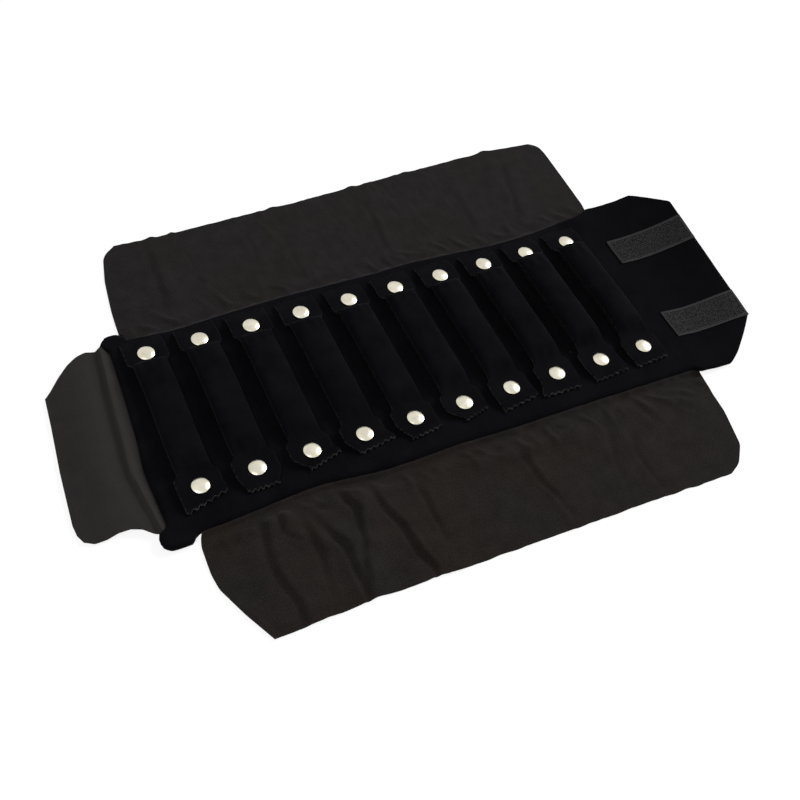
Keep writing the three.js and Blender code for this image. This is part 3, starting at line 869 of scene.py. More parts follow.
FAR_FOLDS = [
    ([(-144, 100), (-141, 130), (-138, 176)], 1.8, 8.0),
    ([(-115, 90), (-112, 130), (-110, 160)], 0.6, 12.0),
    ([(-66, 115), (-62, 150), (-60, 174)], 0.9, 10.0),
    ([(-38, 88), (-37, 120), (-36, 150)], 0.6, 12.0),
    ([(34, 105), (38, 145), (44, 176)], 1.0, 9.0),
    ([(112, 88), (114, 120), (117, 150)], 0.8, 14.0),
    ([(140, 130), (152, 160), (162, 184)], 0.9, 10.0),
    ([(153, 98), (165, 140), (174, 178)], 1.1, 10.0),
]
# Folds that run along a wing, beside its seam.
NEAR_SEAM_FOLDS = [
    ([(-180, -91), (-150, -89), (-112, -87)], 1.8, 4.0),
    ([(-120, -92), (-98, -97), (-74, -95)], 2.4, 5.0),
    ([(-80, -94), (-35, -93), (-16, -89)], 2.2, 5.0),
    ([(-12, -90), (18, -96), (49, -97), (106, -94)], 2.4, 6.0),
    ([(60, -104), (84, -101), (110, -100)], 1.4, 5.0),
    ([(156, -91), (200, -111)], 2.0, 6.0),
]
WING_FOLDS = {1: FAR_FOLDS, -1: NEAR_FOLDS}


def fold_profile(offset, spread):
    """Height across a fold: a narrow crease between a low ridge on its left and a higher one beyond."""
    right = smooth((offset + 1.5) / 7.0) * np.exp(-(np.maximum(offset - 4.5, 0.0) / spread) ** 2)
    left = smooth((1.0 - offset) / 5.0) * np.exp(-(np.maximum(-offset - 3.5, 0.0) / (0.6 * spread)) ** 2)
    return right + 0.35 * left


def fold_relief(x, y, folds):
    """Sum of the folds that run out across a sheet."""
    relief = np.zeros_like(x)
    for line, height, spread in folds:
        ordered = sorted(line, key=lambda p: p[1])
        ys = [p[1] for p in ordered]
        wander = 1.6 * ripple(0 * x, y, 15.0, 5.0 + line[0][0])
        offset = x - np.interp(y, ys, [p[0] for p in ordered]) - wander
        fade = smooth((y - ys[0]) / 26.0 + 0.25) * smooth((ys[-1] - y) / 26.0 + 0.25)
        uneven = 1.0 + 0.5 * ripple(0 * x, y, 22.0, 9.0 + line[0][0])
        relief += height * fade * uneven * fold_profile(offset, spread)
    return relief


def seam_fold_relief(x, y, folds):
    """Sum of the folds that run along a sheet, beside its seam."""
    relief = np.zeros_like(x)
    for line, height, spread in folds:
        xs = [p[0] for p in line]
        offset = np.interp(x, xs, [p[1] for p in line]) - y + 1.5 * ripple(x, 0 * y, 16.0, 7.0)
        fade = smooth((x - xs[0]) / 24.0) * smooth((xs[-1] - x) / 24.0)
        relief += height * fade * fold_profile(offset, spread)
    return relief


def seam_fall(away, uneven):
    """Height of cloth that comes out of the side of the velvet panel and falls to the table."""
    return CLOTH_LIE + (SEAM_HEIGHT - CLOTH_LIE) * (1.0 - smooth((away + 1.0) / (7.5 + 3.0 * uneven)))


def seam_creases(x, y, away, seed):
    """Small sharp creases where sewing has gathered the cloth beside a seam."""
    ridges = 1.0 - 3.0 * np.abs(ripple(x + 0.7 * y, 0.6 * y - 0.3 * x, 16.0, seed))
    return 1.2 * np.maximum(ridges, -0.2) * np.exp(-((away - 10.0) / 9.0) ** 2)


def seam_line(side, x):
    """The line where a wing leaves the panel."""
    return far_edge(x, 0.0) if side > 0 else near_edge(x, 0.0)


def wing_folds(side, x, y):
    """The folds that rolling has pressed into a wing, and the hem along the near wing's cut corner."""
    away = side * (y - seam_line(side, x))
    folds = fold_relief(x, y, WING_FOLDS[side])
    hem = 0.0
    if side < 0:
        folds = folds + seam_fold_relief(x, y, NEAR_SEAM_FOLDS)
        hem = smooth((line_at(y, WING_LEFT[side]) + 5.3 - x) / 1.8) * smooth((-116.0 - y) / 12.0)
    folds = folds + seam_creases(x, y, away, 46.0 - side)
    return smooth((away - 2.0) / 10.0) * folds + HEM_HEIGHT * hem


def wing_top(side, x, y):
    """Height of a wing as it is laid, before it settles."""
    away = side * (y - seam_line(side, x))
    uneven = ripple(x, 0 * y, 13.0, 29.0 + side)
    spread = smooth((away - 1.0) / 9.0)
    folds = 0.4 * wing_folds(side, x, y)
    large = 1.0 * (1.0 + ripple(x, y, 46.0, 31.0 + side))
    small = 0.45 * ripple(x, y, 13.0, 37.0 + side) + 0.16 * ripple(x, y, 5.0, 41.0 + side)
    puckers = 1.5 * ripple(x, y * 0.5, 8.0, 43.0 + side) * np.exp(-((away - 8.0) / 8.0) ** 2)
    return seam_fall(away, uneven) + folds + spread * (large + small + puckers)


def wing_outer(side, x):
    """A wing's outer edge, with bumps where the far wing's folds run out."""
    shape = line_at(x, WING_OUTER[side])
    if side > 0:
        bumps = sum(1.8 * np.exp(-((x - at) / 3.5) ** 2) for at in FAR_EDGE_BUMPS)
        return shape + bumps + 0.8 * ripple(x, 0 * x, 12.0, 61.0) + 0.4 * ripple(x, 0 * x, 3.0, 63.0)
    return shape + 0.7 * ripple(x, 0 * x, 14.0, 65.0) + 0.3 * ripple(x, 0 * x, 3.0, 67.0)


def wing_plan(side):
    """Plan places of one whole wing, and the columns at which its lengths meet."""
    joins = [0]
    xs = [WING_ENDS[0]]
    for right_at in [*CREASES, WING_ENDS[1]]:
        columns = int((right_at - xs[-1]) / CLOTH_STEP)
        xs.extend(np.linspace(xs[-1], right_at, columns + 1)[1:])
        joins.append(len(xs) - 1)
    guess = np.array(xs)
    v = np.concatenate([ROOT_ROWS, FREE_ROWS])
    y = mix(seam_line(side, guess)[None, :], wing_outer(side, guess)[None, :], v[:, None])
    x = np.broadcast_to(guess[None, :], y.shape).copy()
    first, last = slice(0, joins[1] + 1), slice(joins[-2], None)
    share = (x[:, first] - guess[0]) / (CREASES[0] - guess[0])
    x[:, first] = mix(line_at(y[:, first], WING_LEFT[side]), CREASES[0], share)
    share = (x[:, last] - CREASES[-1]) / (guess[-1] - CREASES[-1])
    x[:, last] = mix(CREASES[-1], line_at(y[:, last], WING_RIGHT[side]), share)
    return x, y, joins


def wing_cloth(side):
    """One wing: settled as a whole, then parted at the roll's creases."""
    hand = "far" if side > 0 else "near"
    x, y, joins = wing_plan(side)
    laid = grid_of(x, y, wing_top(side, x, y))
    points = settled(laid, HELD_ROWS)
    points[..., 2] = np.maximum(points[..., 2] + wing_folds(side, x, y), LOWEST_CLOTH)
    sheets = (points, grid_normals(points), laid)
    if side > 0:
        joins[-1] -= TUCK_COLUMNS
        tucked_corner(sheets, joins[-1])
    for number in SECTIONS:
        part, top_drop, under_drop = lapped_length(number, joins)
        grids = [grid[:, part] for grid in sheets]
        piece = wing_part(f"{hand}_wing_cloth_{number}", side, grids, top_drop, under_drop)
        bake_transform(piece)
        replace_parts(piece, f"{hand}_wing_{number}")


def lapped_length(number, joins):
    """Columns of one length of a wing, and how far its faces lie below the wing's surface at each column.
    At a crease each length runs on a little: the left one on top, thinned to a tip, the right one below."""
    first, last = joins[number - 1], joins[number]
    meets_left, meets_right = number > SECTIONS[0], number < SECTIONS[-1]
    columns = np.arange(first - LAP_COLUMNS * meets_left, last + LAP_COLUMNS * meets_right + 1)
    top_drop = np.zeros(len(columns))
    under_drop = np.full(len(columns), CLOTH_THICKNESS)
    if meets_left:
        past = columns - first
        top_drop = np.where(past <= LAP_COLUMNS, lap_thickness(past) + LAP_GAP, 0.0)
    if meets_right:
        past = columns - last
        under_drop = np.where(past >= -LAP_COLUMNS, lap_thickness(past), CLOTH_THICKNESS)
    return columns, top_drop, under_drop


def lap_thickness(past):
    """How thick the upper cloth of a lap is, some columns past the crease."""
    return mix(LAP_THICKNESS, LAP_TIP, np.clip(past / LAP_COLUMNS, 0.0, 1.0))


def tucked_corner(sheets, first_column):
    """The far wing's end beyond the closing flap's fold, which is gathered in as the wing folds over."""
    grids = [grid[:, first_column:] for grid in sheets]
    corner = wing_part("far_wing_corner", 1, grids)
    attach(corner, "far_wing_5")
    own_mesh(corner)


def wing_part(name, side, sheets, top_drop=0.0, under_drop=CLOTH_THICKNESS):
    """One part of a wing, with its painted cooler light and its cloth's pattern laid flat at full size."""
    piece = cloth_sheet(name, *sheets, top_drop, under_drop)
    paint(piece, "cool_tint", np.full(len(piece.data.vertices), WING_COOL_LIGHT[side]))
    return piece


def grid_normals(points):
    """The normals of a grid of points, all turned upwards."""
    along = np.gradient(points, axis=1)
    out = np.gradient(points, axis=0)
    normals = np.cross(along, out)
    normals /= np.linalg.norm(normals, axis=-1, keepdims=True)
    return normals * np.sign(normals[..., 2:3])


def cloth_sheet(name, points, normals, laid, top_drop=0.0, under_drop=CLOTH_THICKNESS):
    """A closed sheet under a grid of points, with its cloth's pattern laid as the plan was cut."""
    top, under = points.copy(), points.copy()
    top[..., 2] -= top_drop
    under[..., 2] -= under_drop
    piece = shell(name, top, under, CLOTH)
    lay_uv(piece, np.concatenate([laid.reshape(-1, 3), laid.reshape(-1, 3)]))
    face_outwards(piece)
    keep_normals(piece, normals.reshape(-1, 3))
    return piece


def lay_uv(piece, flat):
    """Lays the cloth's pattern on it as it was cut, one unit for each metre."""
    layer = piece.data.uv_layers.new(name="cut")
    corner = np.zeros(len(piece.data.loops), np.int32)
    piece.data.loops.foreach_get("vertex_index", corner)
    layer.data.foreach_set("uv", (flat[corner][:, :2] * MM).astype(np.float32).ravel())


def keep_normals(piece, top_normals):
    """Gives a sheet's two sides the surface's own normals, so that neighbouring lengths join unseen."""
    mesh = piece.data
    count = len(top_normals)
    normals = []
    for face in mesh.polygons:
        corners = list(face.vertices)
        if max(corners) < count:
            normals.extend(top_normals[c] for c in corners)
        elif min(corners) >= count:
            normals.extend(-top_normals[c - count] for c in corners)
        else:
            normals.extend(np.array(face.normal) for _ in corners)
    mesh.normals_split_custom_set([tuple(n) for n in normals])


# Settling: the laid sheet falls as cloth onto a table, ten times too big so that it behaves like cloth.
SETTLE_SCALE = 10.0
SETTLE_FRAMES = 22
SLACK = 0.03
TABLE_HALF = 500.0
TABLE_GRIP = 20.0
CLOTH_SETTINGS = {"quality": 5, "mass": 0.2, "tension_stiffness": 15.0, "compression_stiffness": 15.0,
                  "shear_stiffness": 6.0, "bending_stiffness": 2.0, "air_damping": 2.0,
                  "vertex_group_mass": "held", "shrink_min": -SLACK}
TOUCH_SETTINGS = {"distance_min": 0.009, "friction": TABLE_GRIP}


def settled(points, held_rows):
    """The points of a laid sheet after it has fallen and crumpled, held by its first rows."""
    rows, columns = points.shape[:2]
    faces = grid_faces(columns - 1, rows - 1)
    cloth = make_piece("settling_cloth", points.reshape(-1, 3) * SETTLE_SCALE, faces)
    pins = cloth.vertex_groups.new(name="held")
    pins.add(list(range(held_rows * columns)), 1.0, "REPLACE")
    table = settling_table()
    modifier = cloth.modifiers.new("settle", "CLOTH")
    for key, value in CLOTH_SETTINGS.items():
        setattr(modifier.settings, key, value)
    for key, value in TOUCH_SETTINGS.items():
        setattr(modifier.collision_settings, key, value)
    modifier.point_cache.frame_start = 1
    modifier.point_cache.frame_end = SETTLE_FRAMES
    scene = bpy.context.scene
    for step in range(1, SETTLE_FRAMES + 1):
        scene.frame_set(step)
    fallen = cloth.evaluated_get(bpy.context.evaluated_depsgraph_get())
    places = np.zeros(rows * columns * 3)
    fallen.data.vertices.foreach_get("co", places)
    scene.frame_set(1)
    drop(cloth)
    drop(table)
    result = softened(places.reshape(rows, columns, 3) / (MM * SETTLE_SCALE))
    result[..., 2] = np.maximum(result[..., 2], LOWEST_CLOTH)
    return result


def softened(points, times=2):
    """Eases out wrinkles that are finer than the cloth's own body allows."""
    for _ in range(times):
        points[1:-1] = (points[:-2] + 2.0 * points[1:-1] + points[2:]) / 4.0
        points[:, 1:-1] = (points[:, :-2] + 2.0 * points[:, 1:-1] + points[:, 2:]) / 4.0
    return points


def settling_table():
    corners, faces = square(TABLE_HALF)
    table = make_piece("settling_table", corners * SETTLE_SCALE, faces)
    table.modifiers.new("table", "COLLISION")
    table.collision.thickness_outer = 0.004
    table.collision.cloth_friction = TABLE_GRIP
    return table


# Cloth flap on the panel's left end: a ridge beside the velvet, a valley, and a low rise beyond it.
END_VALLEY = [(-76, 5.0), (-40, 9.5), (-10, 12.5), (30, 12.2), (76, 8.0)]
END_CREASE = [(-75, -201.0), (-41, -208.0), (-23, -206.0), (13, -200.0), (40, -198.0)]
END_NEAR_SIDE = [(0.0, -78.0), (0.16, -74.5), (0.27, -70.0), (0.40, -67.0), (0.55, -66.3), (0.70, -67.5),
                 (0.85, -67.3), (0.96, -64.0), (1.0, -58.0)]
END_FAR_SIDE = [(0.0, 77.0), (0.13, 76.5), (0.30, 77.0), (0.45, 75.0), (0.60, 70.5), (0.75, 63.5),
                (0.9, 55.0), (1.0, 50.0)]
END_OUTER = [(-66, -249.5), (-50, -251.0), (-11, -248.4), (27, -244.6), (52, -242.6)]
END_ROWS = np.concatenate([[-0.04, -0.02, 0.0], np.linspace(0.012, 0.40, 34), np.linspace(0.42, 1.0, 30)])
END_COLUMNS = np.linspace(0.0, 1.0, 111)
# How pale the end flap is all over, and how much more across its middle and, as a painted highlight, on the
# ridge beside its seam.
END_PALE_AND_LIT = (0.24, 0.18)
# Painted cooler light on the end flap.
END_COOL_LIGHT = 0.3


def end_flap_top(x, y):
    """Height of the end flap, from its seam outwards."""
    away = end_seam(y) - x
    valley = soft_line(y, END_VALLEY) + 0.6 * ripple(0 * x, y, 12.0, 79.0)
    share = away / valley
    ridge = 2.0 * smooth(share / 0.7) - 3.9 * smooth((share - 0.6) / 0.5)
    rise = 2.2 * smooth((away - valley) / 10.0) - 4.0 * smooth((away - valley - 8.0) / 30.0)
    crease = 0.8 * np.exp(-((x - soft_line(y, END_CREASE)) / 1.8) ** 2) * smooth((40.0 - y) / 20.0)
    soft = 0.7 * ripple(x, y, 34.0, 81.0) + 0.25 * ripple(x, y, 11.0, 83.0) + 0.1 * ripple(x, y, 5.0, 85.0)
    return SEAM_HEIGHT + ridge + rise + smooth((away - 1.0) / 6.0) * (0.9 + soft - crease)


def end_flap():
    uu, vv = np.meshgrid(END_ROWS, END_COLUMNS, indexing="ij")
    y = mix(line_at(uu, END_NEAR_SIDE), line_at(uu, END_FAR_SIDE), vv)
    x = mix(end_seam(y), line_at(y, END_OUTER), uu)
    points = grid_of(x, y, np.maximum(end_flap_top(x, y), LOWEST_CLOTH))
    piece = cloth_sheet("end_flap_cloth", points, grid_normals(points), points)
    # Paler across the flap's middle, with a painted highlight on the ridge beside its seam; the flap also
    # gets some painted cooler light.
    middle = np.exp(-((uu - 0.42) / 0.22) ** 2) + 1.6 * np.exp(-((uu - 0.10) / 0.08) ** 2)
    paint(piece, "paler_and_lit", np.tile((END_PALE_AND_LIT[0] + END_PALE_AND_LIT[1] * middle).ravel(), 2))
    paint(piece, "cool_tint", np.full(2 * uu.size, END_COOL_LIGHT))
    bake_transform(piece)
    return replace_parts(piece, "end_flap")


# Geometry Nodes: a shape repeated on points, stitches along a line, and a pile of filaments on a face.
FILAMENT_LEAN = 0.5
FILAMENT_TURN = 6.283
FILAMENT_SIZES = (0.75, 1.2)


def start_tree(name, **kinds):
    """A tree with a mesh and some named values coming in, and a mesh going out."""
    tree = bpy.data.node_groups.new(name, "GeometryNodeTree")
    sides = tree.interface
    sides.new_socket("Geometry", in_out="INPUT", socket_type="NodeSocketGeometry")
    ids = {}
    for label, kind in kinds.items():
        ids[label] = sides.new_socket(label, in_out="INPUT", socket_type=f"NodeSocket{kind}").identifier
    sides.new_socket("Geometry", in_out="OUTPUT", socket_type="NodeSocketGeometry")
    return tree, ids, tree.nodes.new("NodeGroupInput").outputs


def finish_tree(tree, given, placing):
    """Shapes placed on points, made real, smoothed and dressed in the given material."""
    placed = add_node(tree, "GeometryNodeInstanceOnPoints", placing)
    real = add_node(tree, "GeometryNodeRealizeInstances", {"Geometry": placed.outputs[0]})
    soft = add_node(tree, "GeometryNodeSetShadeSmooth", {"Geometry": real.outputs[0]})
    dressed = add_node(tree, "GeometryNodeSetMaterial", {"Geometry": soft.outputs[0],
                                                         "Material": given["Material"]})
    output = tree.nodes.new("NodeGroupOutput")
    tree.links.new(dressed.outputs[0], output.inputs[0])


def shape_in(tree, given):
    return add_node(tree, "GeometryNodeObjectInfo", {"Object": given["Shape"]}).outputs["Geometry"]


def repeat_tree():
    """The given shape, once on every point."""
    tree, ids, given = start_tree("repeat_on_points", Shape="Object", Material="Material")
    finish_tree(tree, given, {"Points": given["Geometry"], "Instance": shape_in(tree, given)})
    return tree, ids


def stitch_tree():
    """Stitches of one length and thickness along a line, one for each step."""
    tree, ids, given = start_tree("stitch_line", Step="Float", Length="Float", Thickness="Float",
                                  Material="Material")
    curve = add_node(tree, "GeometryNodeMeshToCurve", {"Mesh": given["Geometry"]})
    steps = add_node(tree, "GeometryNodeResampleCurve", {"Curve": curve.outputs[0],
                                                         "Length": given["Step"]}, mode="LENGTH")
    ball = add_node(tree, "GeometryNodeMeshUVSphere", {"Segments": 8, "Rings": 6, "Radius": 0.5})
    tangent = add_node(tree, "GeometryNodeInputTangent")
    turn = add_node(tree, "FunctionNodeAlignRotationToVector", {"Vector": tangent.outputs[0]}, axis="X")
    size = add_node(tree, "ShaderNodeCombineXYZ", {"X": given["Length"], "Y": given["Thickness"],
                                                   "Z": given["Thickness"]})
    finish_tree(tree, given, {"Points": steps.outputs[0], "Instance": ball.outputs["Mesh"],
                              "Rotation": turn.outputs[0], "Scale": size.outputs[0]})
    return tree, ids


def pile_tree():
    """Small bent filaments, thick on a face, each turned at random from one seed."""
    tree, ids, given = start_tree("filament_pile", Shape="Object", Density="Float", Seed="Int",
                                  Material="Material")
    spread = add_node(tree, "GeometryNodeDistributePointsOnFaces", {
        "Mesh": given["Geometry"], "Density": given["Density"], "Seed": given["Seed"]})
    lean = FILAMENT_LEAN
    turn = add_node(tree, "FunctionNodeRandomValue", {
        "Min": (-lean, -lean, 0.0), "Max": (lean, lean, FILAMENT_TURN), "Seed": given["Seed"]},
        data_type="FLOAT_VECTOR")
    least, most = FILAMENT_SIZES
    size = add_node(tree, "FunctionNodeRandomValue", {2: least, 3: most, "Seed": given["Seed"]},
                    data_type="FLOAT")
    finish_tree(tree, given, {"Points": spread.outputs["Points"], "Instance": shape_in(tree, given),
                              "Rotation": turn.outputs[0], "Scale": size.outputs[1]})
    return tree, ids


def grow(piece, tree_and_ids, values):
    """Runs a tree on a piece and keeps the result as the piece's plain mesh."""
    tree, ids = tree_and_ids
    modifier = piece.modifiers.new("grow", "NODES")
    modifier.node_group = tree
    for label, value in values.items():
        modifier[ids[label]] = value
    bpy.context.view_layer.update()
    whole = piece.evaluated_get(bpy.context.evaluated_depsgraph_get())
    grown = bpy.data.meshes.new_from_object(whole)
    piece.modifiers.clear()
    piece.data = grown
    return piece


# Press studs, turned from profiles of (radius, height).
STUD_SIDES = 40
STUD_EDGE_ANGLE = 40.0
SOCKET_RADIUS = 5.0
RIM_HEIGHT = 0.78
RIM_SHARE = 0.95


def turned(name, profile, material):
    """A turned shape whose profile starts and ends on its axis."""
    angles = [2 * math.pi * k / STUD_SIDES for k in range(STUD_SIDES)]
    points, faces = [(0, 0, profile[0][1])], []
    for radius, height in profile[1:-1]:
        points.extend((radius * math.cos(a), radius * math.sin(a), height) for a in angles)
    points.append((0, 0, profile[-1][1]))
    last = len(points) - 1
    rings = len(profile) - 2
    for k in range(STUD_SIDES):
        n = (k + 1) % STUD_SIDES
        faces.append((0, 1 + n, 1 + k))
        for ring in range(rings - 1):
            a = 1 + ring * STUD_SIDES
            faces.append((a + k, a + n, a + n + STUD_SIDES, a + k + STUD_SIDES))
        top = 1 + (rings - 1) * STUD_SIDES
        faces.append((top + k, top + n, last))
    piece = make_piece(name, points, faces, material)
    face_outwards(piece)
    keep_hard_edges(piece, STUD_EDGE_ANGLE)
    return piece


def cap_profile():
    """Socket under the tab, post through it, and a domed cap with a rolled rim on top."""
    base = TAB_TOP + 0.05
    dome = CAP_TOP - base
    rim = CAP_RADIUS * RIM_SHARE
    profile = [(0, SOCKET_BASE + 1.6), (2.3, SOCKET_BASE + 1.6), (2.4, SOCKET_BASE + 0.1),
               (2.7, SOCKET_BASE), (4.2, SOCKET_BASE), (4.6, SOCKET_BASE + 0.25),
               (SOCKET_RADIUS, TAB_BASE - 0.5), (SOCKET_RADIUS, TAB_BASE - 0.1), (1.8, TAB_BASE - 0.1),
               (1.8, base)]
    profile += [(rim - 0.35, base), (rim - 0.08, base + 0.10), (rim, base + 0.35),
                (rim - 0.10, base + 0.62), (rim - 0.40, base + RIM_HEIGHT)]
    for share in (0.88, 0.78, 0.66, 0.53, 0.40, 0.26, 0.13):
        profile.append((rim * share, base + RIM_HEIGHT + (dome - RIM_HEIGHT) * (1 - (share / 0.94) ** 2.6)))
    profile.append((0, CAP_TOP))
    return profile


def stud_profile():
    """The panel's half of a stud: a flange on the velvet, a neck and a head."""
    top = SOCKET_BASE + 1.3
    return [(0, PANEL_TOP - 1.0), (4.3, PANEL_TOP - 1.0), (4.5, PANEL_TOP - 0.6), (4.4, PANEL_TOP + 0.25),
            (4.1, PANEL_TOP + 0.45), (2.0, PANEL_TOP + 0.45), (1.6, PANEL_TOP + 0.7), (1.7, top - 0.7),
            (2.1, top - 0.45), (2.0, top - 0.15), (1.5, top), (0, top)]


def stud_row(name, shape, spots, tree, body):
    """One turned shape at each of some places, riding one body."""
    points = make_piece(name, [(x, y, 0.0) for x, y in spots], [])
    grow(points, tree, {"Shape": shape, "Material": NICKEL})
    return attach(points, body)


def press_studs():
    tree = repeat_tree()
    cap = turned("stud_cap_shape", cap_profile(), NICKEL)
    post = turned("stud_post_shape", stud_profile(), NICKEL)
    for bar in BARS:
        piece = stud_row(f"near_stud_cap_{bar}", cap, [(BAR_X[bar], -SNAP_Y)], tree, f"bar_{bar}")
        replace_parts(piece, f"bar_{bar}_near_snap")
    for section in SECTIONS:
        pair = [2 * section - 1, 2 * section]
        body = f"panel_{section}"
        caps = stud_row(f"far_stud_caps_{section}", cap, [(BAR_X[b], SNAP_Y) for b in pair], tree, body)
        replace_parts(caps, *[f"bar_{b}_far_snap" for b in pair])
        spots = [(BAR_X[b], side * SNAP_Y) for b in pair for side in (-1, 1)]
        stud_row(f"lower_studs_{section}", post, spots, tree, body)
    drop(cap)
    drop(post)


# Hook strips on the closing flap, and the loop patch under the first section.
STRIP_THICKNESS = 1.0
STRIP_GAP = 0.12
STRIP_STEPS = (1.5, 1.2)
STRIP_INSETS = (3.0, 1.6)
SELVEDGE = 2.2
TAPE_EDGE_ANGLE = 50.0
HOOK_DENSITY = 1.5e6
HOOK_SEED = 5
LOOP_DENSITY = 0.3e6
LOOP_SEED = 9
PATCH_STEP = 2.0
LOOP_ROOM = 0.45
STITCHES = {"Step": 2.6 * MM, "Length": 2.2 * MM, "Thickness": 0.7 * MM, "Material": THREAD}
STITCH_INSET = 1.9
FILAMENT_THICKNESS = 0.13
FILAMENT_SIDES = 3
HOOK_PATH = [(0.0, 0.0), (0.05, 0.35), (0.22, 0.62), (0.46, 0.66), (0.60, 0.46)]
LOOP_PATH = [(0.0, 0.0), (0.10, -0.15), (0.35, -0.24), (0.60, -0.15), (0.70, 0.0)]


def filament(name, material, path):
    """One bent nylon filament with three flat sides."""
    sides = FILAMENT_SIDES
    points, faces = [], []
    for x, z in path:
        for k in range(sides):
            angle = 2 * math.pi * k / sides
            points.append((x + FILAMENT_THICKNESS * math.cos(angle) * 0.6,
                           FILAMENT_THICKNESS * math.sin(angle), z))
    for j in range(len(path) - 1):
        for k in range(sides):
            a, b = sides * j + k, sides * j + (k + 1) % sides
            faces.append((a, b, b + sides, a + sides))
    end = sides * (len(path) - 1)
    faces += [(2, 1, 0), (end, end + 1, end + 2)]
    piece = make_piece(name, points, faces, material)
    face_outwards(piece)
    return piece


def tape_on(piece, body):
    """Fastener tape, riding one body."""
    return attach(piece, body)


def pile_on(name, surface, material, growing, shape, density, seed):
    """A surface thick with filaments."""
    faces = grid_faces(surface.shape[1] - 1, surface.shape[0] - 1)
    pile = make_piece(name, surface.reshape(-1, 3), faces, material)
    return grow(pile, growing, {"Shape": shape, "Density": density, "Seed": seed, "Material": material})


def strip_surface(low, high, lift, margin):
    """Points of a strip that lies on the closing flap's velvet, lifted a little off it."""
    x = along_steps(low[0] + STRIP_INSETS[0] + margin, high[0] - STRIP_INSETS[1] - margin, STRIP_STEPS[0])
    y = along_steps(low[1] + margin, high[1] - margin, STRIP_STEPS[1])
    xx, yy = np.meshgrid(x, y)
    return grid_of(xx, yy, velvet_top(xx, yy) + STRIP_GAP + lift)


def hook_strip(side, growing, sewing, hook):
    """One strip on the closing flap: its tape, its field of hooks and the stitches round it."""
    node = f"hook_strip_{side}"
    low, high = node_box(node)
    top = strip_surface(low, high, STRIP_THICKNESS, 0.0)
    edge = np.minimum(top[..., 1] - low[1], high[1] - top[..., 1])
    top[..., 2] += 0.15 * np.exp(-((edge - 1.0) / 0.7) ** 2)
    under = strip_surface(low, high, 0.0, 0.0)
    tape = shell(f"hook_strip_{side}_tape", top, under, HOOK_TAPE)
    close_up(tape, TAPE_EDGE_ANGLE)
    tape_on(tape, "closing_flap")
    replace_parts(tape, node)
    field = strip_surface(low, high, STRIP_THICKNESS - 0.05, SELVEDGE)
    hooks = pile_on(f"hook_strip_{side}_hooks", field, HOOKS, growing, hook, HOOK_DENSITY, HOOK_SEED)
    tape_on(hooks, "closing_flap")
    line = strip_surface(low, high, STRIP_THICKNESS + 0.2, STITCH_INSET)
    rim = rim_of(line.shape[1] - 1, line.shape[0] - 1)
    sewn = make_line(f"hook_strip_{side}_stitches", line.reshape(-1, 3)[rim])
    grow(sewn, sewing, STITCHES)
    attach(sewn, "closing_flap")


def make_line(name, points):
    """A closed line through some points."""
    mesh = bpy.data.meshes.new(name)
    count = len(points)
    mesh.from_pydata((np.array(points) * MM).tolist(), [(k, (k + 1) % count) for k in range(count)], [])
    return add_object(name, mesh)


def loop_patch(growing):
    """The soft half of the fastener, its loops facing down under the first section."""
    low, high = node_box("loop_patch")
    xx, yy = np.meshgrid(along_steps(low[0], high[0], PATCH_STEP), along_steps(low[1], high[1], PATCH_STEP))
    wavy = 0.10 * ripple(xx, yy, 15.0, 91.0)
    under = grid_of(xx, yy, low[2] + LOOP_ROOM + wavy)
    ground = shell("loop_patch_ground", grid_of(xx, yy, np.full_like(xx, high[2])), under, LOOP_TAPE)
    close_up(ground, TAPE_EDGE_ANGLE)
    tape_on(ground, "panel_1")
    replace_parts(ground, "loop_patch")
    loop = filament("loop_shape", LOOP_TAPE, LOOP_PATH)
    loops = pile_on("loop_patch_pile", under, LOOP_TAPE, growing, loop, LOOP_DENSITY, LOOP_SEED)
    tape_on(loops, "panel_1")
    drop(loop)


# Floor, light and camera. The lamps' places and sizes are metres.
FLOOR_HALF = 4.0
FLOOR_DROP = 0.2
FLOOR_GLOW = 0.84
FLOOR_GREY = (0.24, 0.24, 0.24, 1.0)
SKY_WHITE = (1.0, 1.0, 1.0, 1.0)
SKY_LEVEL = 0.27
LAMPS = {"right_window": ((4.4, 0.8, 3.4), 2.6, 216.0), "left_fill": ((-1.2, -0.8, 1.5), 1.3, 13.0)}
VIEW_AZIMUTH = math.radians(-34.504)
VIEW_ELEVATION = math.radians(52.599)
VIEW_ROLL = math.radians(-11.558)
VIEW_DISTANCE = 739.5
VIEW_TARGET_RIGHT = 3.8
VIEW_TARGET_UP = -36.6
VIEW_TARGET_HEIGHT = 13.75
VIEW_LENS = 46.57
VIEW_SENSOR = 36.0


def set_stage():
    corners, faces = square(FLOOR_HALF)
    floor = make_piece("floor", corners / MM - np.array([0, 0, FLOOR_DROP]), faces)
    material = bpy.data.materials.new("pale_floor")
    material.use_nodes = True
    tree = material.node_tree
    tree.nodes.clear()
    glow_level = math_of(tree, "MULTIPLY", seen_directly(tree), FLOOR_GLOW)
    glow = add_node(tree, "ShaderNodeEmission", {"Strength": glow_level})
    matt = add_node(tree, "ShaderNodeBsdfDiffuse", {"Color": FLOOR_GREY})
    both = add_node(tree, "ShaderNodeAddShader", {0: glow.outputs[0], 1: matt.outputs[0]})
    output = tree.nodes.new("ShaderNodeOutputMaterial")
    tree.links.new(both.outputs[0], output.inputs["Surface"])
    floor.data.materials.append(material)


def seen_directly(tree):
    """1 where the camera, metal or glass looks straight at this surface."""
    path = add_node(tree, "ShaderNodeLightPath")
    either = math_of(tree, "MAXIMUM", path.outputs["Is Camera Ray"], path.outputs["Is Glossy Ray"])
    return math_of(tree, "MAXIMUM", either, path.outputs["Is Transmission Ray"])


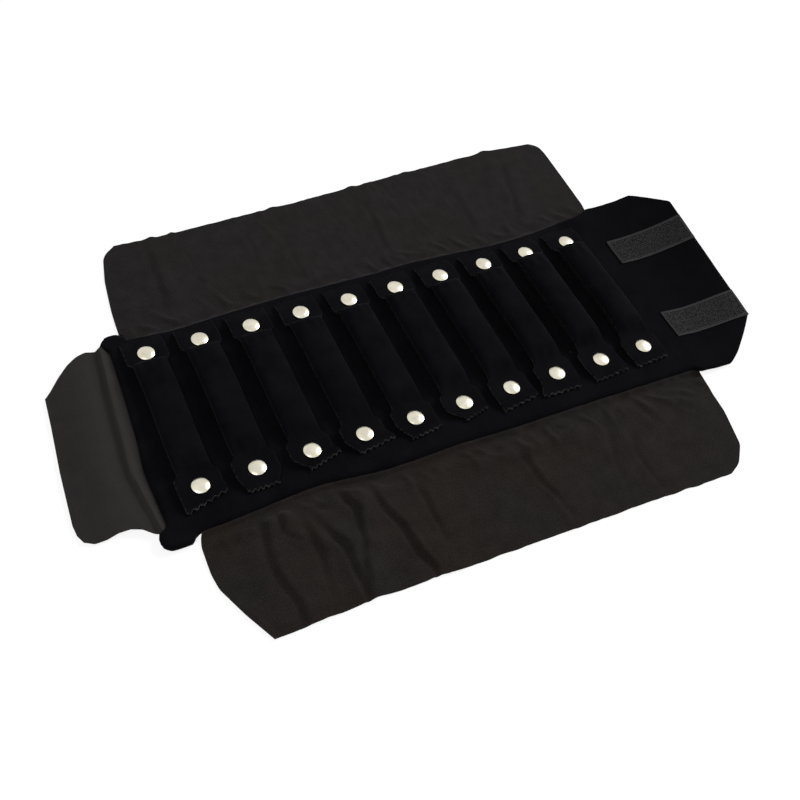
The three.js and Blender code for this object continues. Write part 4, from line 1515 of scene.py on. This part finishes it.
def set_world():
    """A plain sky, white where it is looked at and dimmer where it only lights the object."""
    world = bpy.data.worlds.new("white_studio")
    bpy.context.scene.world = world
    world.use_nodes = True
    tree = world.node_tree
    tree.nodes.clear()
    level = add_node(tree, "ShaderNodeMapRange", {"Value": seen_directly(tree), "To Min": SKY_LEVEL,
                                                  "To Max": 1.0})
    sky = add_node(tree, "ShaderNodeBackground", {"Color": SKY_WHITE, "Strength": level.outputs["Result"]})
    output = tree.nodes.new("ShaderNodeOutputWorld")
    tree.links.new(sky.outputs[0], output.inputs["Surface"])


def add_lamp(name, place, size, watts):
    """A round soft lamp that looks at the middle of the roll."""
    lamp = bpy.data.lights.new(name, "AREA")
    lamp.shape = "DISK"
    lamp.size = size
    lamp.energy = watts
    holder = add_object(name, lamp)
    holder.location = place
    holder.rotation_mode = "QUATERNION"
    holder.rotation_quaternion = (-Vector(place)).to_track_quat("-Z", "Y")


def set_camera():
    """A camera at the angle that was fitted to the twenty stud caps."""
    a, e, r = VIEW_AZIMUTH, VIEW_ELEVATION, VIEW_ROLL
    back = Vector((math.sin(a) * math.cos(e), -math.cos(a) * math.cos(e), math.sin(e)))
    right = Vector((math.cos(a), math.sin(a), 0.0))
    up = back.cross(right)
    target = right * VIEW_TARGET_RIGHT + up * VIEW_TARGET_UP + Vector((0, 0, VIEW_TARGET_HEIGHT))
    place = (target + back * VIEW_DISTANCE) * MM
    turned_right = right * math.cos(r) - up * math.sin(r)
    turned_up = right * math.sin(r) + up * math.cos(r)
    axes = Matrix((turned_right, turned_up, back)).transposed()
    data = bpy.data.cameras.new("photo_view")
    data.sensor_width = VIEW_SENSOR
    data.lens = VIEW_LENS
    data.clip_start = 0.01
    camera = add_object("photo_view", data)
    camera.matrix_world = Matrix.Translation(place) @ axes.to_4x4()
    bpy.context.scene.camera = camera


# The whole roll.
set_camera()
set_stage()
set_world()
for lamp_name, lamp_settings in LAMPS.items():
    add_lamp(lamp_name, *lamp_settings)
make_panel()
closing_flap()
for bar_number in BARS:
    bar_cover(bar_number)
for wing_side in (-1, 1):
    wing_cloth(wing_side)
end_flap()
press_studs()
pile_growing = pile_tree()
stitch_sewing = stitch_tree()
hook_shape = filament("hook_shape", HOOKS, HOOK_PATH)
for strip_side in ("far", "near"):
    hook_strip(strip_side, pile_growing, stitch_sewing, hook_shape)
drop(hook_shape)
loop_patch(pile_growing)

bpy.context.scene.view_settings.view_transform = "Standard"
bpy.context.view_layer.update()
